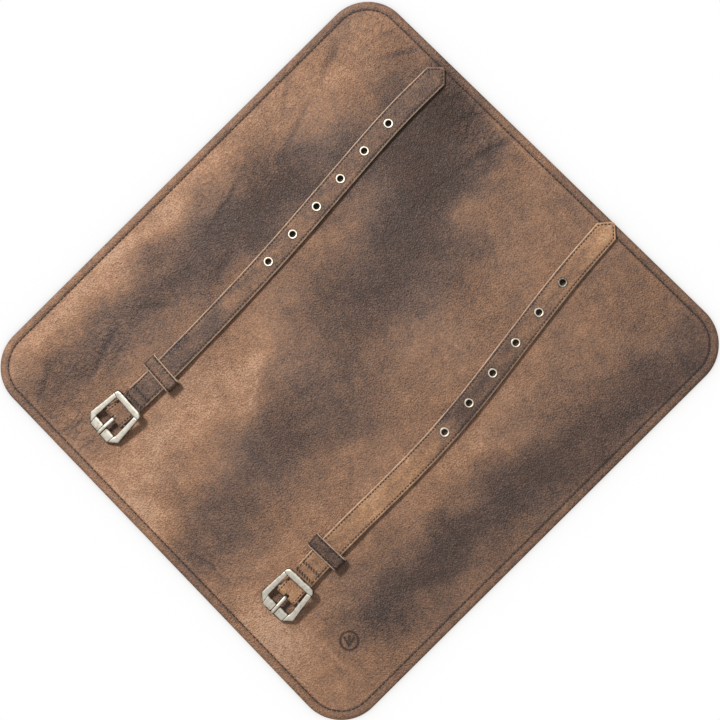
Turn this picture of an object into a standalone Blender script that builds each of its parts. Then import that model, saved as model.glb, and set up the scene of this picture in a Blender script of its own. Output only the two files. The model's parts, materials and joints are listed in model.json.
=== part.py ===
"""Brush roll case, unrolled and lying with its outer leather up.

+X runs along the straps towards their points, +Y runs across them, and +Z is up.
The origin is under the middle of the panel, on the surface that the case lies on.
Soft leather is divided into sections that turn about straight crease lines, because
each section is a rigid body: the panel rolls up section by section, and so do the straps.
"""

import math

import bmesh
import bpy
from mathutils import Matrix, Vector

# ---------------------------------------------------------------- driving dimensions, metres
GAP = 0.0003
CUT_PAST = 0.001

PANEL_LENGTH = 0.429
PANEL_WIDTH = 0.403
CORNER_RADIUS = 0.035
HEM_WIDTH = 0.008
LEATHER = 0.002
LINING = 0.001
LINING_TOP_EDGE = 0.110
LEFT_CREASES = (-0.187, -0.156)
FIRST_RIGHT_CREASE = -0.120
CREASE_PITCH = 0.0375
RIGHT_SECTIONS = 9

STRAP_WIDTH = 0.0192
STRAP_THICKNESS = 0.002
STRAP_POINT = 0.0086
STRAP_BLUNT = 0.0012
SEWN_LENGTH = 0.029
BASE_WIDTH = 0.0180
FIRST_STRAP_CREASE = 0.070
EYELETS = 6

BAR_RADIUS = 0.0015
BAR_CLEARANCE = 0.0003
BAR_HEIGHT = 0.0075
FOLD_RADIUS = 0.0037
FOLD_END = 0.0085
FOLD_TURN = 265
FOLD_UNDERSIDE = 0.0020
BAR_LENGTH = 0.0250
SLOT_WIDTH = 0.0034
SLOT_END = 0.0003
SLOT_BOTTOM = -0.0016
SLOT_TOP = 0.0050

# The buckle's frame, measured from its bar: -X is the end that the prong rests on.
FRAME_THICKNESS = 0.0028
FRAME_BEVEL = 0.0007
FRAME_TILT = math.radians(10.5)
FRAME_RIGHT_END = 0.0156
FRAME_RIGHT_HALF_WIDTH = 0.0135
FRAME_RIGHT_CORNER = 0.0042
FRAME_WIDEST = (-0.0130, 0.0160)
FRAME_LEFT_END = (-0.0198, 0.0092)
WINDOW_CORNER = 0.0015
WINDOW_RIGHT = (0.0102, 0.0098)
WINDOW_LEFT = (-0.0120, 0.0104)
NOTCH_WIDTH = 0.0034
NOTCH_DEPTH = 0.0010
NOTCH_START = -0.0100

PRONG_WIDTH = 0.0026
PRONG_RING_RADIUS = 0.0029
PRONG_TOP = ((0.0, 0.0016), (-0.0115, 0.0043), (-0.0170, 0.0044), (-0.0193, 0.0036))
PRONG_UNDERSIDE = ((-0.0193, 0.0025), (-0.0118, 0.00215), (0.0, -0.0006))

KEEPER_WIDTH = 0.030
KEEPER_LENGTH = 0.0115
KEEPER_HEIGHT = 0.0076
KEEPER_THICKNESS = 0.0013
KEEPER_CORNER = 0.0028

EYELET_RADIUS = 0.0040
EYELET_HOLE_RADIUS = 0.00225
EYELET_WALL = 0.00045
EYELET_LIP = 0.0005
EYELET_EDGE = 0.0004
EYELET_UNDERSIDE_STEP = 0.0003

# Each strap: its centre line in plan (bar, keeper, first eyelet, last eyelet, point), the
# distances from the bar along it, and the small turn of its buckle and keeper.
STRAPS = {
    1: {
        "plan": (
            (-0.1648, 0.0967),
            (-0.1163, 0.0955),
            (0.0041, 0.0989),
            (0.1467, 0.1094),
            (0.2077, 0.1102),
        ),
        "first_eyelet": 0.1689,
        "eyelet_pitch": 0.0285,
        "keeper": 0.0485,
        "buckle_turn": math.radians(-3),
        "keeper_turn": math.radians(-4),
    },
    2: {
        "plan": (
            (-0.1646, -0.0950),
            (-0.1212, -0.0930),
            (0.0077, -0.0915),
            (0.1530, -0.0739),
            (0.2138, -0.0688),
        ),
        "first_eyelet": 0.1723,
        "eyelet_pitch": 0.0291,
        "keeper": 0.0434,
        "buckle_turn": math.radians(3),
        "keeper_turn": math.radians(1),
    },
}

PANEL_TOP = LINING + GAP + LEATHER
BASE_BOTTOM = PANEL_TOP + GAP
STRAP_BOTTOM = BASE_BOTTOM + KEEPER_THICKNESS + GAP
STRAP_TOP = STRAP_BOTTOM + STRAP_THICKNESS

# colour, roughness, metallic
LOOKS = {
    "outer_leather": ((0.230, 0.130, 0.075), 0.60, 0.0),
    "lining": ((0.300, 0.180, 0.105), 0.75, 0.0),
    "strap": ((0.255, 0.150, 0.088), 0.60, 0.0),
    "keeper": ((0.120, 0.070, 0.045), 0.60, 0.0),
    "buckle": ((0.560, 0.500, 0.400), 0.35, 1.0),
    "eyelet": ((0.620, 0.560, 0.460), 0.35, 1.0),
}


# ---------------------------------------------------------------- scene, collections, materials
def clear_scene():
    for thing in list(bpy.data.objects):
        bpy.data.objects.remove(thing, do_unlink=True)


def make_collection(name):
    collection = bpy.data.collections.new(name)
    bpy.context.scene.collection.children.link(collection)
    return collection


def make_material(name, look):
    colour, roughness, metallic = LOOKS[look]
    material = bpy.data.materials.new(name)
    material.use_nodes = True
    shader = material.node_tree.nodes["Principled BSDF"]
    shader.inputs["Base Color"].default_value = (*colour, 1.0)
    shader.inputs["Roughness"].default_value = roughness
    shader.inputs["Metallic"].default_value = metallic
    material.diffuse_color = (*colour, 1.0)
    return material


clear_scene()
PARTS = make_collection("brush_roll_case")
CUTTERS = make_collection("brush_roll_case_cutters")


# ---------------------------------------------------------------- shapes
def add_part(name, mesh, placement, look):
    part = bpy.data.objects.new(name, mesh)
    part.matrix_world = placement
    mesh.materials.append(make_material(f"{name}_material", look))
    PARTS.objects.link(part)
    return part


def add_tool(name, mesh, placement):
    tool = bpy.data.objects.new(name, mesh)
    tool.matrix_world = placement
    tool.hide_render = True
    tool.display_type = "WIRE"
    CUTTERS.objects.link(tool)
    return tool


def combine(part, tool, operation):
    modifier = part.modifiers.new(f"{operation.lower()}_{tool.name}", "BOOLEAN")
    modifier.operation = operation
    modifier.solver = "EXACT"
    modifier.object = tool


def bevel(part, width):
    modifier = part.modifiers.new("bevel", "BEVEL")
    modifier.width = width
    modifier.segments = 1
    modifier.limit_method = "ANGLE"
    modifier.angle_limit = math.radians(30)


def attach(child, parent):
    bpy.context.view_layer.update()
    child.parent = parent
    child.matrix_parent_inverse = parent.matrix_world.inverted()


def sheet_mesh(name, outlines, low, high):
    """A flat outline (with holes, where more than one is given) from low to high in local Z."""
    curve = bpy.data.curves.new(name, "CURVE")
    curve.dimensions = "2D"
    curve.fill_mode = "BOTH"
    curve.extrude = (high - low) / 2
    for outline in outlines:
        spline = curve.splines.new("POLY")
        spline.points.add(len(outline) - 1)
        for point, (x, y) in zip(spline.points, outline):
            point.co = (x, y, 0.0, 1.0)
        spline.use_cyclic_u = True
    guide = bpy.data.objects.new(f"{name}_outline", curve)
    CUTTERS.objects.link(guide)
    bpy.context.view_layer.update()
    seen = guide.evaluated_get(bpy.context.evaluated_depsgraph_get())
    mesh = bpy.data.meshes.new_from_object(seen)
    mesh.name = name
    mesh.materials.clear()
    mesh.transform(Matrix.Translation((0.0, 0.0, (high + low) / 2)))
    weld = bmesh.new()
    weld.from_mesh(mesh)
    bmesh.ops.remove_doubles(weld, verts=weld.verts, dist=1e-6)
    weld.to_mesh(mesh)
    weld.free()
    bpy.data.objects.remove(guide, do_unlink=True)
    return mesh


def rod_mesh(name, radius, length, steps=24):
    """A closed cylinder about local Z, centred on the origin."""
    mesh = bpy.data.meshes.new(name)
    rod = bmesh.new()
    bmesh.ops.create_cone(
        rod, cap_ends=True, segments=steps, radius1=radius, radius2=radius, depth=length
    )
    rod.to_mesh(mesh)
    rod.free()
    return mesh


def block_mesh(name, size, centre):
    mesh = bpy.data.meshes.new(name)
    block = bmesh.new()
    bmesh.ops.create_cube(block, size=1.0, matrix=Matrix.Translation(centre) @ Matrix.Diagonal((*size, 1.0)))
    block.to_mesh(mesh)
    block.free()
    return mesh


def arc(centre, radius, start, end, steps):
    """Points along an arc, with both ends, angles in degrees."""
    angles = [math.radians(start + (end - start) * i / steps) for i in range(steps + 1)]
    return [(centre[0] + radius * math.cos(a), centre[1] + radius * math.sin(a)) for a in angles]


def rounded_box(width, height, radius, steps=4):
    corners = ((1, 1, 0), (-1, 1, 90), (-1, -1, 180), (1, -1, 270))
    points = []
    for sx, sy, start in corners:
        centre = (sx * (width / 2 - radius), sy * (height / 2 - radius))
        points += arc(centre, radius, start, start + 90, steps)
    return points


# ---------------------------------------------------------------- panel and its lining
def edge_y(x, inset):
    """Half the panel's width at x, with its round corners, moved in by inset."""
    radius = CORNER_RADIUS - inset
    past = abs(x) - (PANEL_LENGTH / 2 - CORNER_RADIUS)
    drop = radius - math.sqrt(max(radius**2 - past**2, 0.0)) if past > 0 else 0.0
    return PANEL_WIDTH / 2 - inset - drop


def strip_outline(x0, x1, inset, top=None):
    """The part of the rounded panel between x0 and x1."""
    arc_start = PANEL_LENGTH / 2 - CORNER_RADIUS
    radius = CORNER_RADIUS - inset
    turns = [arc_start + radius * math.sin(math.radians(10 * i)) for i in range(1, 9)]
    stations = {x0, x1}
    stations.update(x for t in turns for x in (t, -t) if x0 + 0.001 < x < x1 - 0.001)
    stations = sorted(stations)
    upper = [edge_y(x, inset) if top is None else min(edge_y(x, inset), top) for x in stations]
    low_side = [(x, -edge_y(x, inset)) for x in stations]
    high_side = [(x, y) for x, y in zip(reversed(stations), reversed(upper))]
    return low_side + high_side


def crease_lines():
    right = [FIRST_RIGHT_CREASE + CREASE_PITCH * i for i in range(RIGHT_SECTIONS)]
    return list(LEFT_CREASES) + right


def build_panel():
    """Sections from -X to +X: the outer leather with its turned hem, and the lining inside it."""
    creases = crease_lines()
    ends = [-PANEL_LENGTH / 2] + creases + [PANEL_LENGTH / 2]
    root = len(LEFT_CREASES)
    hem_inside = PANEL_LENGTH / 2 - HEM_WIDTH
    leather = []
    for i in range(len(ends) - 1):
        number = f"{i + 1:02d}"
        first = i == 0
        last = i == len(ends) - 2
        x0 = ends[i] if first else ends[i] + GAP / 2
        x1 = ends[i + 1] if last else ends[i + 1] - GAP / 2
        hinge_x = 0.0 if i == root else (ends[i + 1] if i < root else ends[i])
        place = Matrix.Translation((hinge_x, 0.0, 0.0))

        outline = [(x - hinge_x, y) for x, y in strip_outline(x0, x1, 0.0)]
        mesh = sheet_mesh(f"outer_leather_{number}", [outline], 0.0, PANEL_TOP)
        outer = add_part(f"outer_leather_{number}", mesh, place, "outer_leather")

        low = -hem_inside if first else x0 - CUT_PAST
        high = hem_inside if last else x1 + CUT_PAST
        recess = [(x - hinge_x, y) for x, y in strip_outline(low, high, HEM_WIDTH)]
        mesh = sheet_mesh(f"recess_{number}", [recess], -CUT_PAST, LINING + GAP)
        combine(outer, add_tool(f"recess_{number}", mesh, place), "DIFFERENCE")

        low = -hem_inside + GAP if first else x0
        high = hem_inside - GAP if last else x1
        pocket = [(x - hinge_x, y) for x, y in strip_outline(low, high, HEM_WIDTH + GAP, LINING_TOP_EDGE)]
        mesh = sheet_mesh(f"pocket_lining_{number}", [pocket], 0.0, LINING)
        attach(add_part(f"pocket_lining_{number}", mesh, place, "lining"), outer)
        leather.append(outer)
    for i, outer in enumerate(leather):
        if i != root:
            attach(outer, leather[i + 1] if i < root else leather[i - 1])
    return leather[root]


# ---------------------------------------------------------------- straps
def plan_point(strap, distance):
    """A point and heading on the strap's centre line, at a distance from the buckle's bar."""
    plan = strap["plan"]
    x = plan[0][0] + distance
    slopes = []
    for i in range(len(plan)):
        before = plan[max(i - 1, 0)]
        after = plan[min(i + 1, len(plan) - 1)]
        slopes.append((after[1] - before[1]) / (after[0] - before[0]))
    k = 0
    while k < len(plan) - 2 and x > plan[k + 1][0]:
        k += 1
    (xa, ya), (xb, yb) = plan[k], plan[k + 1]
    span = xb - xa
    t = (x - xa) / span
    if t < 0.0:
        return Vector((x, ya + slopes[0] * (x - xa), 0.0)), math.atan(slopes[0])
    y = (
        (2 * t**3 - 3 * t**2 + 1) * ya
        + (t**3 - 2 * t**2 + t) * span * slopes[k]
        + (3 * t**2 - 2 * t**3) * yb
        + (t**3 - t**2) * span * slopes[k + 1]
    )
    slope = (
        (6 * t**2 - 6 * t) * (ya - yb) / span
        + (3 * t**2 - 4 * t + 1) * slopes[k]
        + (3 * t**2 - 2 * t) * slopes[k + 1]
    )
    return Vector((x, y, 0.0)), math.atan(slope)


def strap_creases(strap):
    """Distances from the bar to each crease: the first one lifts the strap, the rest curl it."""
    first = strap["first_eyelet"]
    pitch = strap["eyelet_pitch"]
    between = [first + pitch * (k - 0.5) for k in range(0, EYELETS + 1, 2)]
    middle = (FIRST_STRAP_CREASE + between[0]) / 2
    return [SEWN_LENGTH, FIRST_STRAP_CREASE, middle] + between


def placement(strap, distance, height, turn=0.0):
    point, heading = plan_point(strap, distance)
    point.z = height
    return Matrix.Translation(point) @ Matrix.Rotation(heading + turn, 4, "Z")


def upright(place):
    """Local X along the strap and local Y up, for a profile seen from the side."""
    return place @ Matrix.Rotation(math.pi / 2, 4, "X")


def strap_outline(strap, start, end, place, pointed):
    """The strap's plan between two distances, in the coordinates of place."""
    steps = 6
    left = []
    right = []
    for i in range(steps + 1):
        point, heading = plan_point(strap, start + (end - start) * i / steps)
        side = Vector((-math.sin(heading), math.cos(heading), 0.0)) * STRAP_WIDTH / 2
        left.append(point + side)
        right.append(point - side)
    tip = []
    if pointed:
        point, heading = plan_point(strap, end + STRAP_POINT)
        side = Vector((-math.sin(heading), math.cos(heading), 0.0)) * STRAP_BLUNT
        tip = [point - side, point + side]
    inverse = place.inverted()
    points = right + tip + list(reversed(left))
    local = [inverse @ Vector((p.x, p.y, place.translation.z)) for p in points]
    return [(p.x, p.y) for p in local]


def sewn_base(number, strap):
    """The strap's sewn end: two layers, folded round the buckle's bar, with a slot for the prong."""
    name = f"strap_{number}_base"
    place = placement(strap, 0.0, BAR_HEIGHT)
    low = BASE_BOTTOM - BAR_HEIGHT
    high = STRAP_TOP - BAR_HEIGHT
    reach = math.hypot(FOLD_END, high)
    touch = math.degrees(math.atan2(high, FOLD_END) + math.acos(FOLD_RADIUS / reach))
    end = SEWN_LENGTH - GAP / 2
    profile = [(end, low), (end, high), (FOLD_END, high)]
    profile += arc((0.0, 0.0), FOLD_RADIUS, touch, FOLD_TURN, 14)
    profile += [(FOLD_UNDERSIDE, low)]
    mesh = sheet_mesh(name, [profile], -BASE_WIDTH / 2, BASE_WIDTH / 2)
    base = add_part(name, mesh, upright(place), "strap")
    hole = rod_mesh(f"{name}_bar_hole", BAR_RADIUS + BAR_CLEARANCE, STRAP_WIDTH + 2 * CUT_PAST)
    combine(base, add_tool(f"{name}_bar_hole", hole, upright(place)), "DIFFERENCE")
    groove = rod_mesh(f"{name}_ring_groove", PRONG_RING_RADIUS + BAR_CLEARANCE, SLOT_WIDTH)
    combine(base, add_tool(f"{name}_ring_groove", groove, upright(place)), "DIFFERENCE")
    slot_start = -FOLD_RADIUS - CUT_PAST
    slot_size = (SLOT_END - slot_start, SLOT_WIDTH, SLOT_TOP - SLOT_BOTTOM)
    slot_centre = ((SLOT_END + slot_start) / 2, 0.0, (SLOT_TOP + SLOT_BOTTOM) / 2)
    slot = block_mesh(f"{name}_slot", slot_size, slot_centre)
    combine(base, add_tool(f"{name}_slot", slot, place), "DIFFERENCE")
    return base


def free_sections(number, strap, base):
    """The strap past its stitches, in sections that turn about creases across it."""
    creases = strap_creases(strap)
    length = strap["plan"][-1][0] - strap["plan"][0][0]
    ends = creases + [length - STRAP_POINT]
    sections = []
    for i in range(len(creases)):
        name = f"strap_{number}_section_{i + 1}"
        last = i == len(creases) - 1
        start = ends[i] + GAP / 2
        end = ends[i + 1] - (0.0 if last else GAP / 2)
        height = STRAP_TOP if i == 0 else STRAP_BOTTOM
        place = placement(strap, ends[i], height)
        outline = strap_outline(strap, start, end, place, last)
        mesh = sheet_mesh(name, [outline], STRAP_BOTTOM - height, STRAP_TOP - height)
        section = add_part(name, mesh, place, "strap")
        attach(section, base if i == 0 else sections[-1])
        sections.append(section)
    return sections


def eyelet_mesh(name):
    """A turned ring: a lip over the strap, a barrel through it and a lip under it."""
    top = STRAP_THICKNESS / 2 + GAP + EYELET_LIP
    lip = top - EYELET_LIP
    barrel = EYELET_HOLE_RADIUS + EYELET_WALL
    under = EYELET_RADIUS - EYELET_UNDERSIDE_STEP
    profile = (
        (EYELET_RADIUS - EYELET_EDGE, top),
        (EYELET_RADIUS, top - EYELET_EDGE),
        (EYELET_RADIUS, lip),
        (barrel, lip),
        (barrel, -lip),
        (under, -lip),
        (under, -top),
        (EYELET_HOLE_RADIUS, -top),
        (EYELET_HOLE_RADIUS, top - EYELET_EDGE),
        (EYELET_HOLE_RADIUS + EYELET_EDGE, top),
    )
    ring = bmesh.new()
    points = [ring.verts.new((radius, 0.0, z)) for radius, z in profile]
    for i, point in enumerate(points):
        ring.edges.new((point, points[(i + 1) % len(points)]))
    mesh = bpy.data.meshes.new(name)
    ring.to_mesh(mesh)
    ring.free()
    return mesh


def turn_profile(part, steps=24):
    modifier = part.modifiers.new("turn", "SCREW")
    modifier.steps = steps
    modifier.render_steps = steps
    modifier.use_merge_vertices = True
    modifier.merge_threshold = 0.00001
    modifier.use_normal_calculate = False


def add_eyelets(number, strap, sections):
    middle = (STRAP_BOTTOM + STRAP_TOP) / 2
    for i in range(EYELETS):
        name = f"strap_{number}_eyelet_{i + 1}"
        place = placement(strap, strap["first_eyelet"] + strap["eyelet_pitch"] * i, middle)
        section = sections[3 + i // 2]
        hole_radius = EYELET_HOLE_RADIUS + EYELET_WALL + GAP
        hole = rod_mesh(f"{name}_hole", hole_radius, STRAP_THICKNESS + 2 * CUT_PAST)
        combine(section, add_tool(f"{name}_hole", hole, place), "DIFFERENCE")
        eyelet = add_part(name, eyelet_mesh(name), place, "eyelet")
        turn_profile(eyelet)
        attach(eyelet, section)


# ---------------------------------------------------------------- keeper, buckle and prong
def add_keeper(number, strap, section):
    """A leather loop round the strap, tall enough for the strap's free end to pass through too."""
    name = f"keeper_{number}"
    middle = BASE_BOTTOM + KEEPER_HEIGHT / 2
    place = placement(strap, strap["keeper"], middle, strap["keeper_turn"])
    across = place @ Matrix.Rotation(math.pi / 2, 4, "Z") @ Matrix.Rotation(math.pi / 2, 4, "X")
    outer = rounded_box(KEEPER_WIDTH, KEEPER_HEIGHT, KEEPER_CORNER)
    wall = 2 * KEEPER_THICKNESS
    inner = rounded_box(KEEPER_WIDTH - wall, KEEPER_HEIGHT - wall, KEEPER_CORNER - KEEPER_THICKNESS)
    mesh = sheet_mesh(name, [outer, inner], -KEEPER_LENGTH / 2, KEEPER_LENGTH / 2)
    attach(add_part(name, mesh, across, "keeper"), section)


def frame_outlines():
    """The buckle's frame in plan: wide with cut corners at -X, narrower and round at +X."""
    corner = (FRAME_RIGHT_END - FRAME_RIGHT_CORNER, FRAME_RIGHT_HALF_WIDTH - FRAME_RIGHT_CORNER)
    upper = arc(corner, FRAME_RIGHT_CORNER, 0, 88, 4) + [FRAME_WIDEST, FRAME_LEFT_END]
    outer = upper + [(x, -y) for x, y in reversed(upper)]
    right = (WINDOW_RIGHT[0] - WINDOW_CORNER, WINDOW_RIGHT[1] - WINDOW_CORNER)
    left = (WINDOW_LEFT[0] + WINDOW_CORNER, WINDOW_LEFT[1] - WINDOW_CORNER)
    inside = arc(right, WINDOW_CORNER, 0, 88, 3) + arc(left, WINDOW_CORNER, 92, 180, 3)
    inner = inside + [(x, -y) for x, y in reversed(inside)]
    return outer, inner


def add_buckle(number, strap, base):
    name = f"buckle_{number}_frame"
    level = placement(strap, 0.0, BAR_HEIGHT)
    level = Matrix.Translation(level.translation) @ Matrix.Rotation(strap["buckle_turn"], 4, "Z")
    place = level @ Matrix.Rotation(-FRAME_TILT, 4, "Y")
    outer, inner = frame_outlines()
    frame = add_part(name, sheet_mesh(name, [outer, inner], 0.0, FRAME_THICKNESS), place, "buckle")
    notch_end = FRAME_LEFT_END[0] - CUT_PAST
    notch_size = (NOTCH_START - notch_end, NOTCH_WIDTH, NOTCH_DEPTH + CUT_PAST)
    notch_height = FRAME_THICKNESS + (CUT_PAST - NOTCH_DEPTH) / 2
    notch = block_mesh(f"{name}_notch", notch_size, ((NOTCH_START + notch_end) / 2, 0.0, notch_height))
    bevel(frame, FRAME_BEVEL)
    combine(frame, add_tool(f"{name}_notch", notch, place), "DIFFERENCE")
    bar = add_tool(f"{name}_bar", rod_mesh(f"{name}_bar", BAR_RADIUS, BAR_LENGTH), upright(place))
    combine(frame, bar, "UNION")
    attach(frame, base)
    return frame, place


def add_prong(number, frame, place):
    """A ring round the bar with an arm that reaches over the frame's far side."""
    name = f"buckle_{number}_prong"
    mesh = sheet_mesh(name, [PRONG_TOP + PRONG_UNDERSIDE], -PRONG_WIDTH / 2, PRONG_WIDTH / 2)
    prong = add_part(name, mesh, upright(place), "buckle")
    ring = add_tool(f"{name}_ring", rod_mesh(f"{name}_ring", PRONG_RING_RADIUS, PRONG_WIDTH), upright(place))
    combine(prong, ring, "UNION")
    bore = rod_mesh(f"{name}_bore", BAR_RADIUS + BAR_CLEARANCE, PRONG_WIDTH + 2 * CUT_PAST)
    combine(prong, add_tool(f"{name}_bore", bore, upright(place)), "DIFFERENCE")
    attach(prong, frame)


# ---------------------------------------------------------------- assembly
def build():
    panel_root = build_panel()
    for number, strap in STRAPS.items():
        base = sewn_base(number, strap)
        attach(base, panel_root)
        sections = free_sections(number, strap, base)
        add_eyelets(number, strap, sections)
        add_keeper(number, strap, sections[0])
        frame, place = add_buckle(number, strap, base)
        add_prong(number, frame, place)
    for part in PARTS.objects:
        part.data.shade_smooth()
        part.data.set_sharp_from_angle(angle=math.radians(35))


build()
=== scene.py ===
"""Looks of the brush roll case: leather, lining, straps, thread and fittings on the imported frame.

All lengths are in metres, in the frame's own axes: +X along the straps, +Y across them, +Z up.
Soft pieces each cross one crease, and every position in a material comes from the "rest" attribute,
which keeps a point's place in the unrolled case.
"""

import json
import math

import bpy
import numpy as np
from mathutils import Matrix, Vector

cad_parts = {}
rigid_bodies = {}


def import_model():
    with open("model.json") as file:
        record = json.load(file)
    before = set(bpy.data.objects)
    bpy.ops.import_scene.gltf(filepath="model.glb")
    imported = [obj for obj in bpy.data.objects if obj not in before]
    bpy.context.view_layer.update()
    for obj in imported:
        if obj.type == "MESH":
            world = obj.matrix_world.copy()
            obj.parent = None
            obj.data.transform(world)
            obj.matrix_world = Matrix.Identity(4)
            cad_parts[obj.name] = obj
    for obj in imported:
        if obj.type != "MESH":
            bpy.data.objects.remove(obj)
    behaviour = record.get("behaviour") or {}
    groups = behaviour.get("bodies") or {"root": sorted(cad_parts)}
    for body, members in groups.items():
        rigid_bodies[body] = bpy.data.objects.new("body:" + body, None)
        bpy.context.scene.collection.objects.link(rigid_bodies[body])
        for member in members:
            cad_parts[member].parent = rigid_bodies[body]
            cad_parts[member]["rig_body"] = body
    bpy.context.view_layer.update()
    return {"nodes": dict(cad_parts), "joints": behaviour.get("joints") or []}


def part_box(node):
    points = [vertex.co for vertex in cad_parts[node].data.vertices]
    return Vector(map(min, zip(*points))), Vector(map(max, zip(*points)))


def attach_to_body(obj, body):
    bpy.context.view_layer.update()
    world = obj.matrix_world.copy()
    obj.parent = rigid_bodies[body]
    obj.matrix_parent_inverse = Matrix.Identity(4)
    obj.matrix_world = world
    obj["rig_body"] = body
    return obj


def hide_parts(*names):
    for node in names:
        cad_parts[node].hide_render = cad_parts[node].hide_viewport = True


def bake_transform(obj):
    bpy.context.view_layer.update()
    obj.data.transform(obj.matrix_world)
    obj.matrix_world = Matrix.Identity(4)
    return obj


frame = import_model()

MM = 0.001
JOINTS = {joint["name"]: joint for joint in frame["joints"]}

# ---------------------------------------------------------------- sizes that the frame gives
LEATHER_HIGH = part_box("outer_leather_06")[1]
HALF_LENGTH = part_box("outer_leather_12")[1].x
HALF_WIDTH = LEATHER_HIGH.y
PANEL_TOP = LEATHER_HIGH.z
LINING_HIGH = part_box("pocket_lining_06")[1]
STRAP_LOW, STRAP_HIGH = (corner.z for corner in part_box("strap_1_section_2"))
BASE_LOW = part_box("strap_1_base")[0].z
BAR_HEIGHT = JOINTS["buckle_1_tilt"]["pos_m"][2]
FRAME_TILT = math.radians(JOINTS["buckle_1_tilt"]["range_deg"][1])

# ---------------------------------------------------------------- panel
CORNER = 35 * MM
HEM = 8 * MM
SKIN_BOTTOM = 1.3 * MM
RIM_HEIGHT = 1.6 * MM
RIM_RADII = (2.4 * MM, 1.5 * MM)
HEM_PUFF = 0.40 * MM
HEM_GROOVE = 0.42 * MM
HEM_STITCH_INSET = 7.0 * MM
HEM_STITCH_PITCH = 3.8 * MM
GRID, FINE_GRID = 1.7 * MM, 0.5 * MM
RING = 14 * MM
RING_STEPS = [MM * d for d in (0, 0.1, 0.35, 0.8, 1.4, 2.2, 3.2, 4.3, 5.3, 6.0, 6.4)]
RING_STEPS += [MM * d for d in (6.7, 7.0, 7.3, 7.6, 7.9, 8.1, 8.6, 9.6, 11.0, 12.5)]
CORNER_STEPS = 22

# ---------------------------------------------------------------- straps, keepers, buckles
STRAP_HALF = 9.6 * MM
POINT_LENGTH = 8.6 * MM
POINT_BLUNT = 1.2 * MM
POINT_RATE = (STRAP_HALF - POINT_BLUNT) / POINT_LENGTH
STRAP_SAG = 1.0 * MM
SAG_FROM, SAG_TO = 66 * MM, 84 * MM
EDGE_BAND = 0.75 * MM
EDGE_DROP = 0.55 * MM
EDGE_STITCH_INSET = 1.75 * MM
EDGE_STITCH_PITCH = 2.8 * MM
CROSS_ROWS = (18.4 * MM, 26.0 * MM)
ROW_DENT = 0.20 * MM
UNDER_FRAME = (10.0 * MM, 18.0 * MM)
FOLD_SKIN = 1.9 * MM
FOLD_RADIUS = 3.7 * MM
FOLD_HALF = 8.85 * MM
SEWN_END = 26.5 * MM
SLOT_SIZE = (3.4 * MM, 2.5 * MM, 7.0 * MM)
KEEPER_TURN = {1: math.radians(-4), 2: math.radians(1)}
KEEPER_SIZE = (30 * MM, 7.6 * MM)
KEEPER_HALF_LENGTH = 5.9 * MM
KEEPER_CORNER = 2.9 * MM
KEEPER_ROW = 1.65 * MM
KEEPER_PITCH = 3.0 * MM
EYELET_RADIUS, EYELET_HOLE = 4.0 * MM, 2.3 * MM
# Half thickness of each thread.
HEM_THREAD, SEAM_THREAD, SEWN_THREAD = 0.40 * MM, 0.26 * MM, 0.42 * MM
STRAP_THREAD, KEEPER_THREAD = 0.46 * MM, 0.50 * MM
# How deep a stitch lies in its groove, and how much deeper under a buckle's frame.
STITCH_SINK, UNDER_FRAME_SINK = 0.10 * MM, 0.36 * MM


# ---------------------------------------------------------------- mesh helpers
def smooth(t):
    t = np.clip(t, 0.0, 1.0)
    return t * t * (3 - 2 * t)


def bell(x, width):
    return np.exp(-((x / width) ** 2))


def waves(x, y, seed, count, shortest, longest):
    """A sum of plane waves with seeded directions, from about -1 to 1."""
    rng = np.random.default_rng(seed)
    total = np.zeros(np.shape(x))
    for _ in range(count):
        turn = rng.uniform(0, math.tau)
        length = math.exp(rng.uniform(math.log(shortest), math.log(longest)))
        total += np.sin((x * math.cos(turn) + y * math.sin(turn)) * math.tau / length + rng.uniform(0, math.tau))
    return total / math.sqrt(count * 2)


def make_object(name, points, faces, materials, face_material=None, sharp=35):
    mesh = bpy.data.meshes.new(name)
    mesh.from_pydata([tuple(p) for p in points], [], faces)
    for material in materials:
        mesh.materials.append(material)
    if face_material is not None:
        mesh.polygons.foreach_set("material_index", np.asarray(face_material, np.int32))
    mesh.shade_smooth()
    mesh.set_sharp_from_angle(angle=math.radians(sharp))
    mesh.validate()
    thing = bpy.data.objects.new(name, mesh)
    bpy.context.scene.collection.objects.link(thing)
    return thing


def add_attribute(thing, name, values):
    made = thing.data.attributes.new(name, "FLOAT", "POINT")
    made.data.foreach_set("value", np.asarray(values, np.float32))


def keep_rest(thing, tone=None, **more):
    """Stores each point's place at rest, and the named values that the materials read."""
    points = np.zeros(len(thing.data.vertices) * 3, np.float32)
    thing.data.vertices.foreach_get("co", points)
    points = points.reshape(-1, 3).astype(float)
    made = thing.data.attributes.new("rest", "FLOAT_VECTOR", "POINT")
    made.data.foreach_set("vector", points.astype(np.float32).ravel())
    if tone is not None:
        add_attribute(thing, "tone", tone(points))
    for name, rule in more.items():
        add_attribute(thing, name, rule(points))
    return thing


def loft(loops, closed=False, segments=None, cap_material=0):
    """Points and faces between loops of points, and the material of each face."""
    n, m = loops.shape[:2]
    faces, material = [], []
    segments = [0] * m if segments is None else segments
    for i in range(n if closed else n - 1):
        a, b = i * m, ((i + 1) % n) * m
        for j in range(m):
            k = (j + 1) % m
            faces.append((a + j, b + j, b + k, a + k))
            material.append(segments[j])
    if not closed:
        faces.append(tuple(range(m)))
        faces.append(tuple((n - 1) * m + j for j in reversed(range(m))))
        material += [cap_material, cap_material]
    return loops.reshape(-1, 3), faces, material


def facing_out(points, faces):
    """Faces turned round if the closed surface is inside out."""
    points = np.asarray(points)
    volume = 0.0
    for face in faces:
        a = points[face[0]]
        for i in range(1, len(face) - 1):
            volume += np.dot(a, np.cross(points[face[i]], points[face[i + 1]]))
    return faces if volume > 0 else [tuple(reversed(face)) for face in faces]


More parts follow.
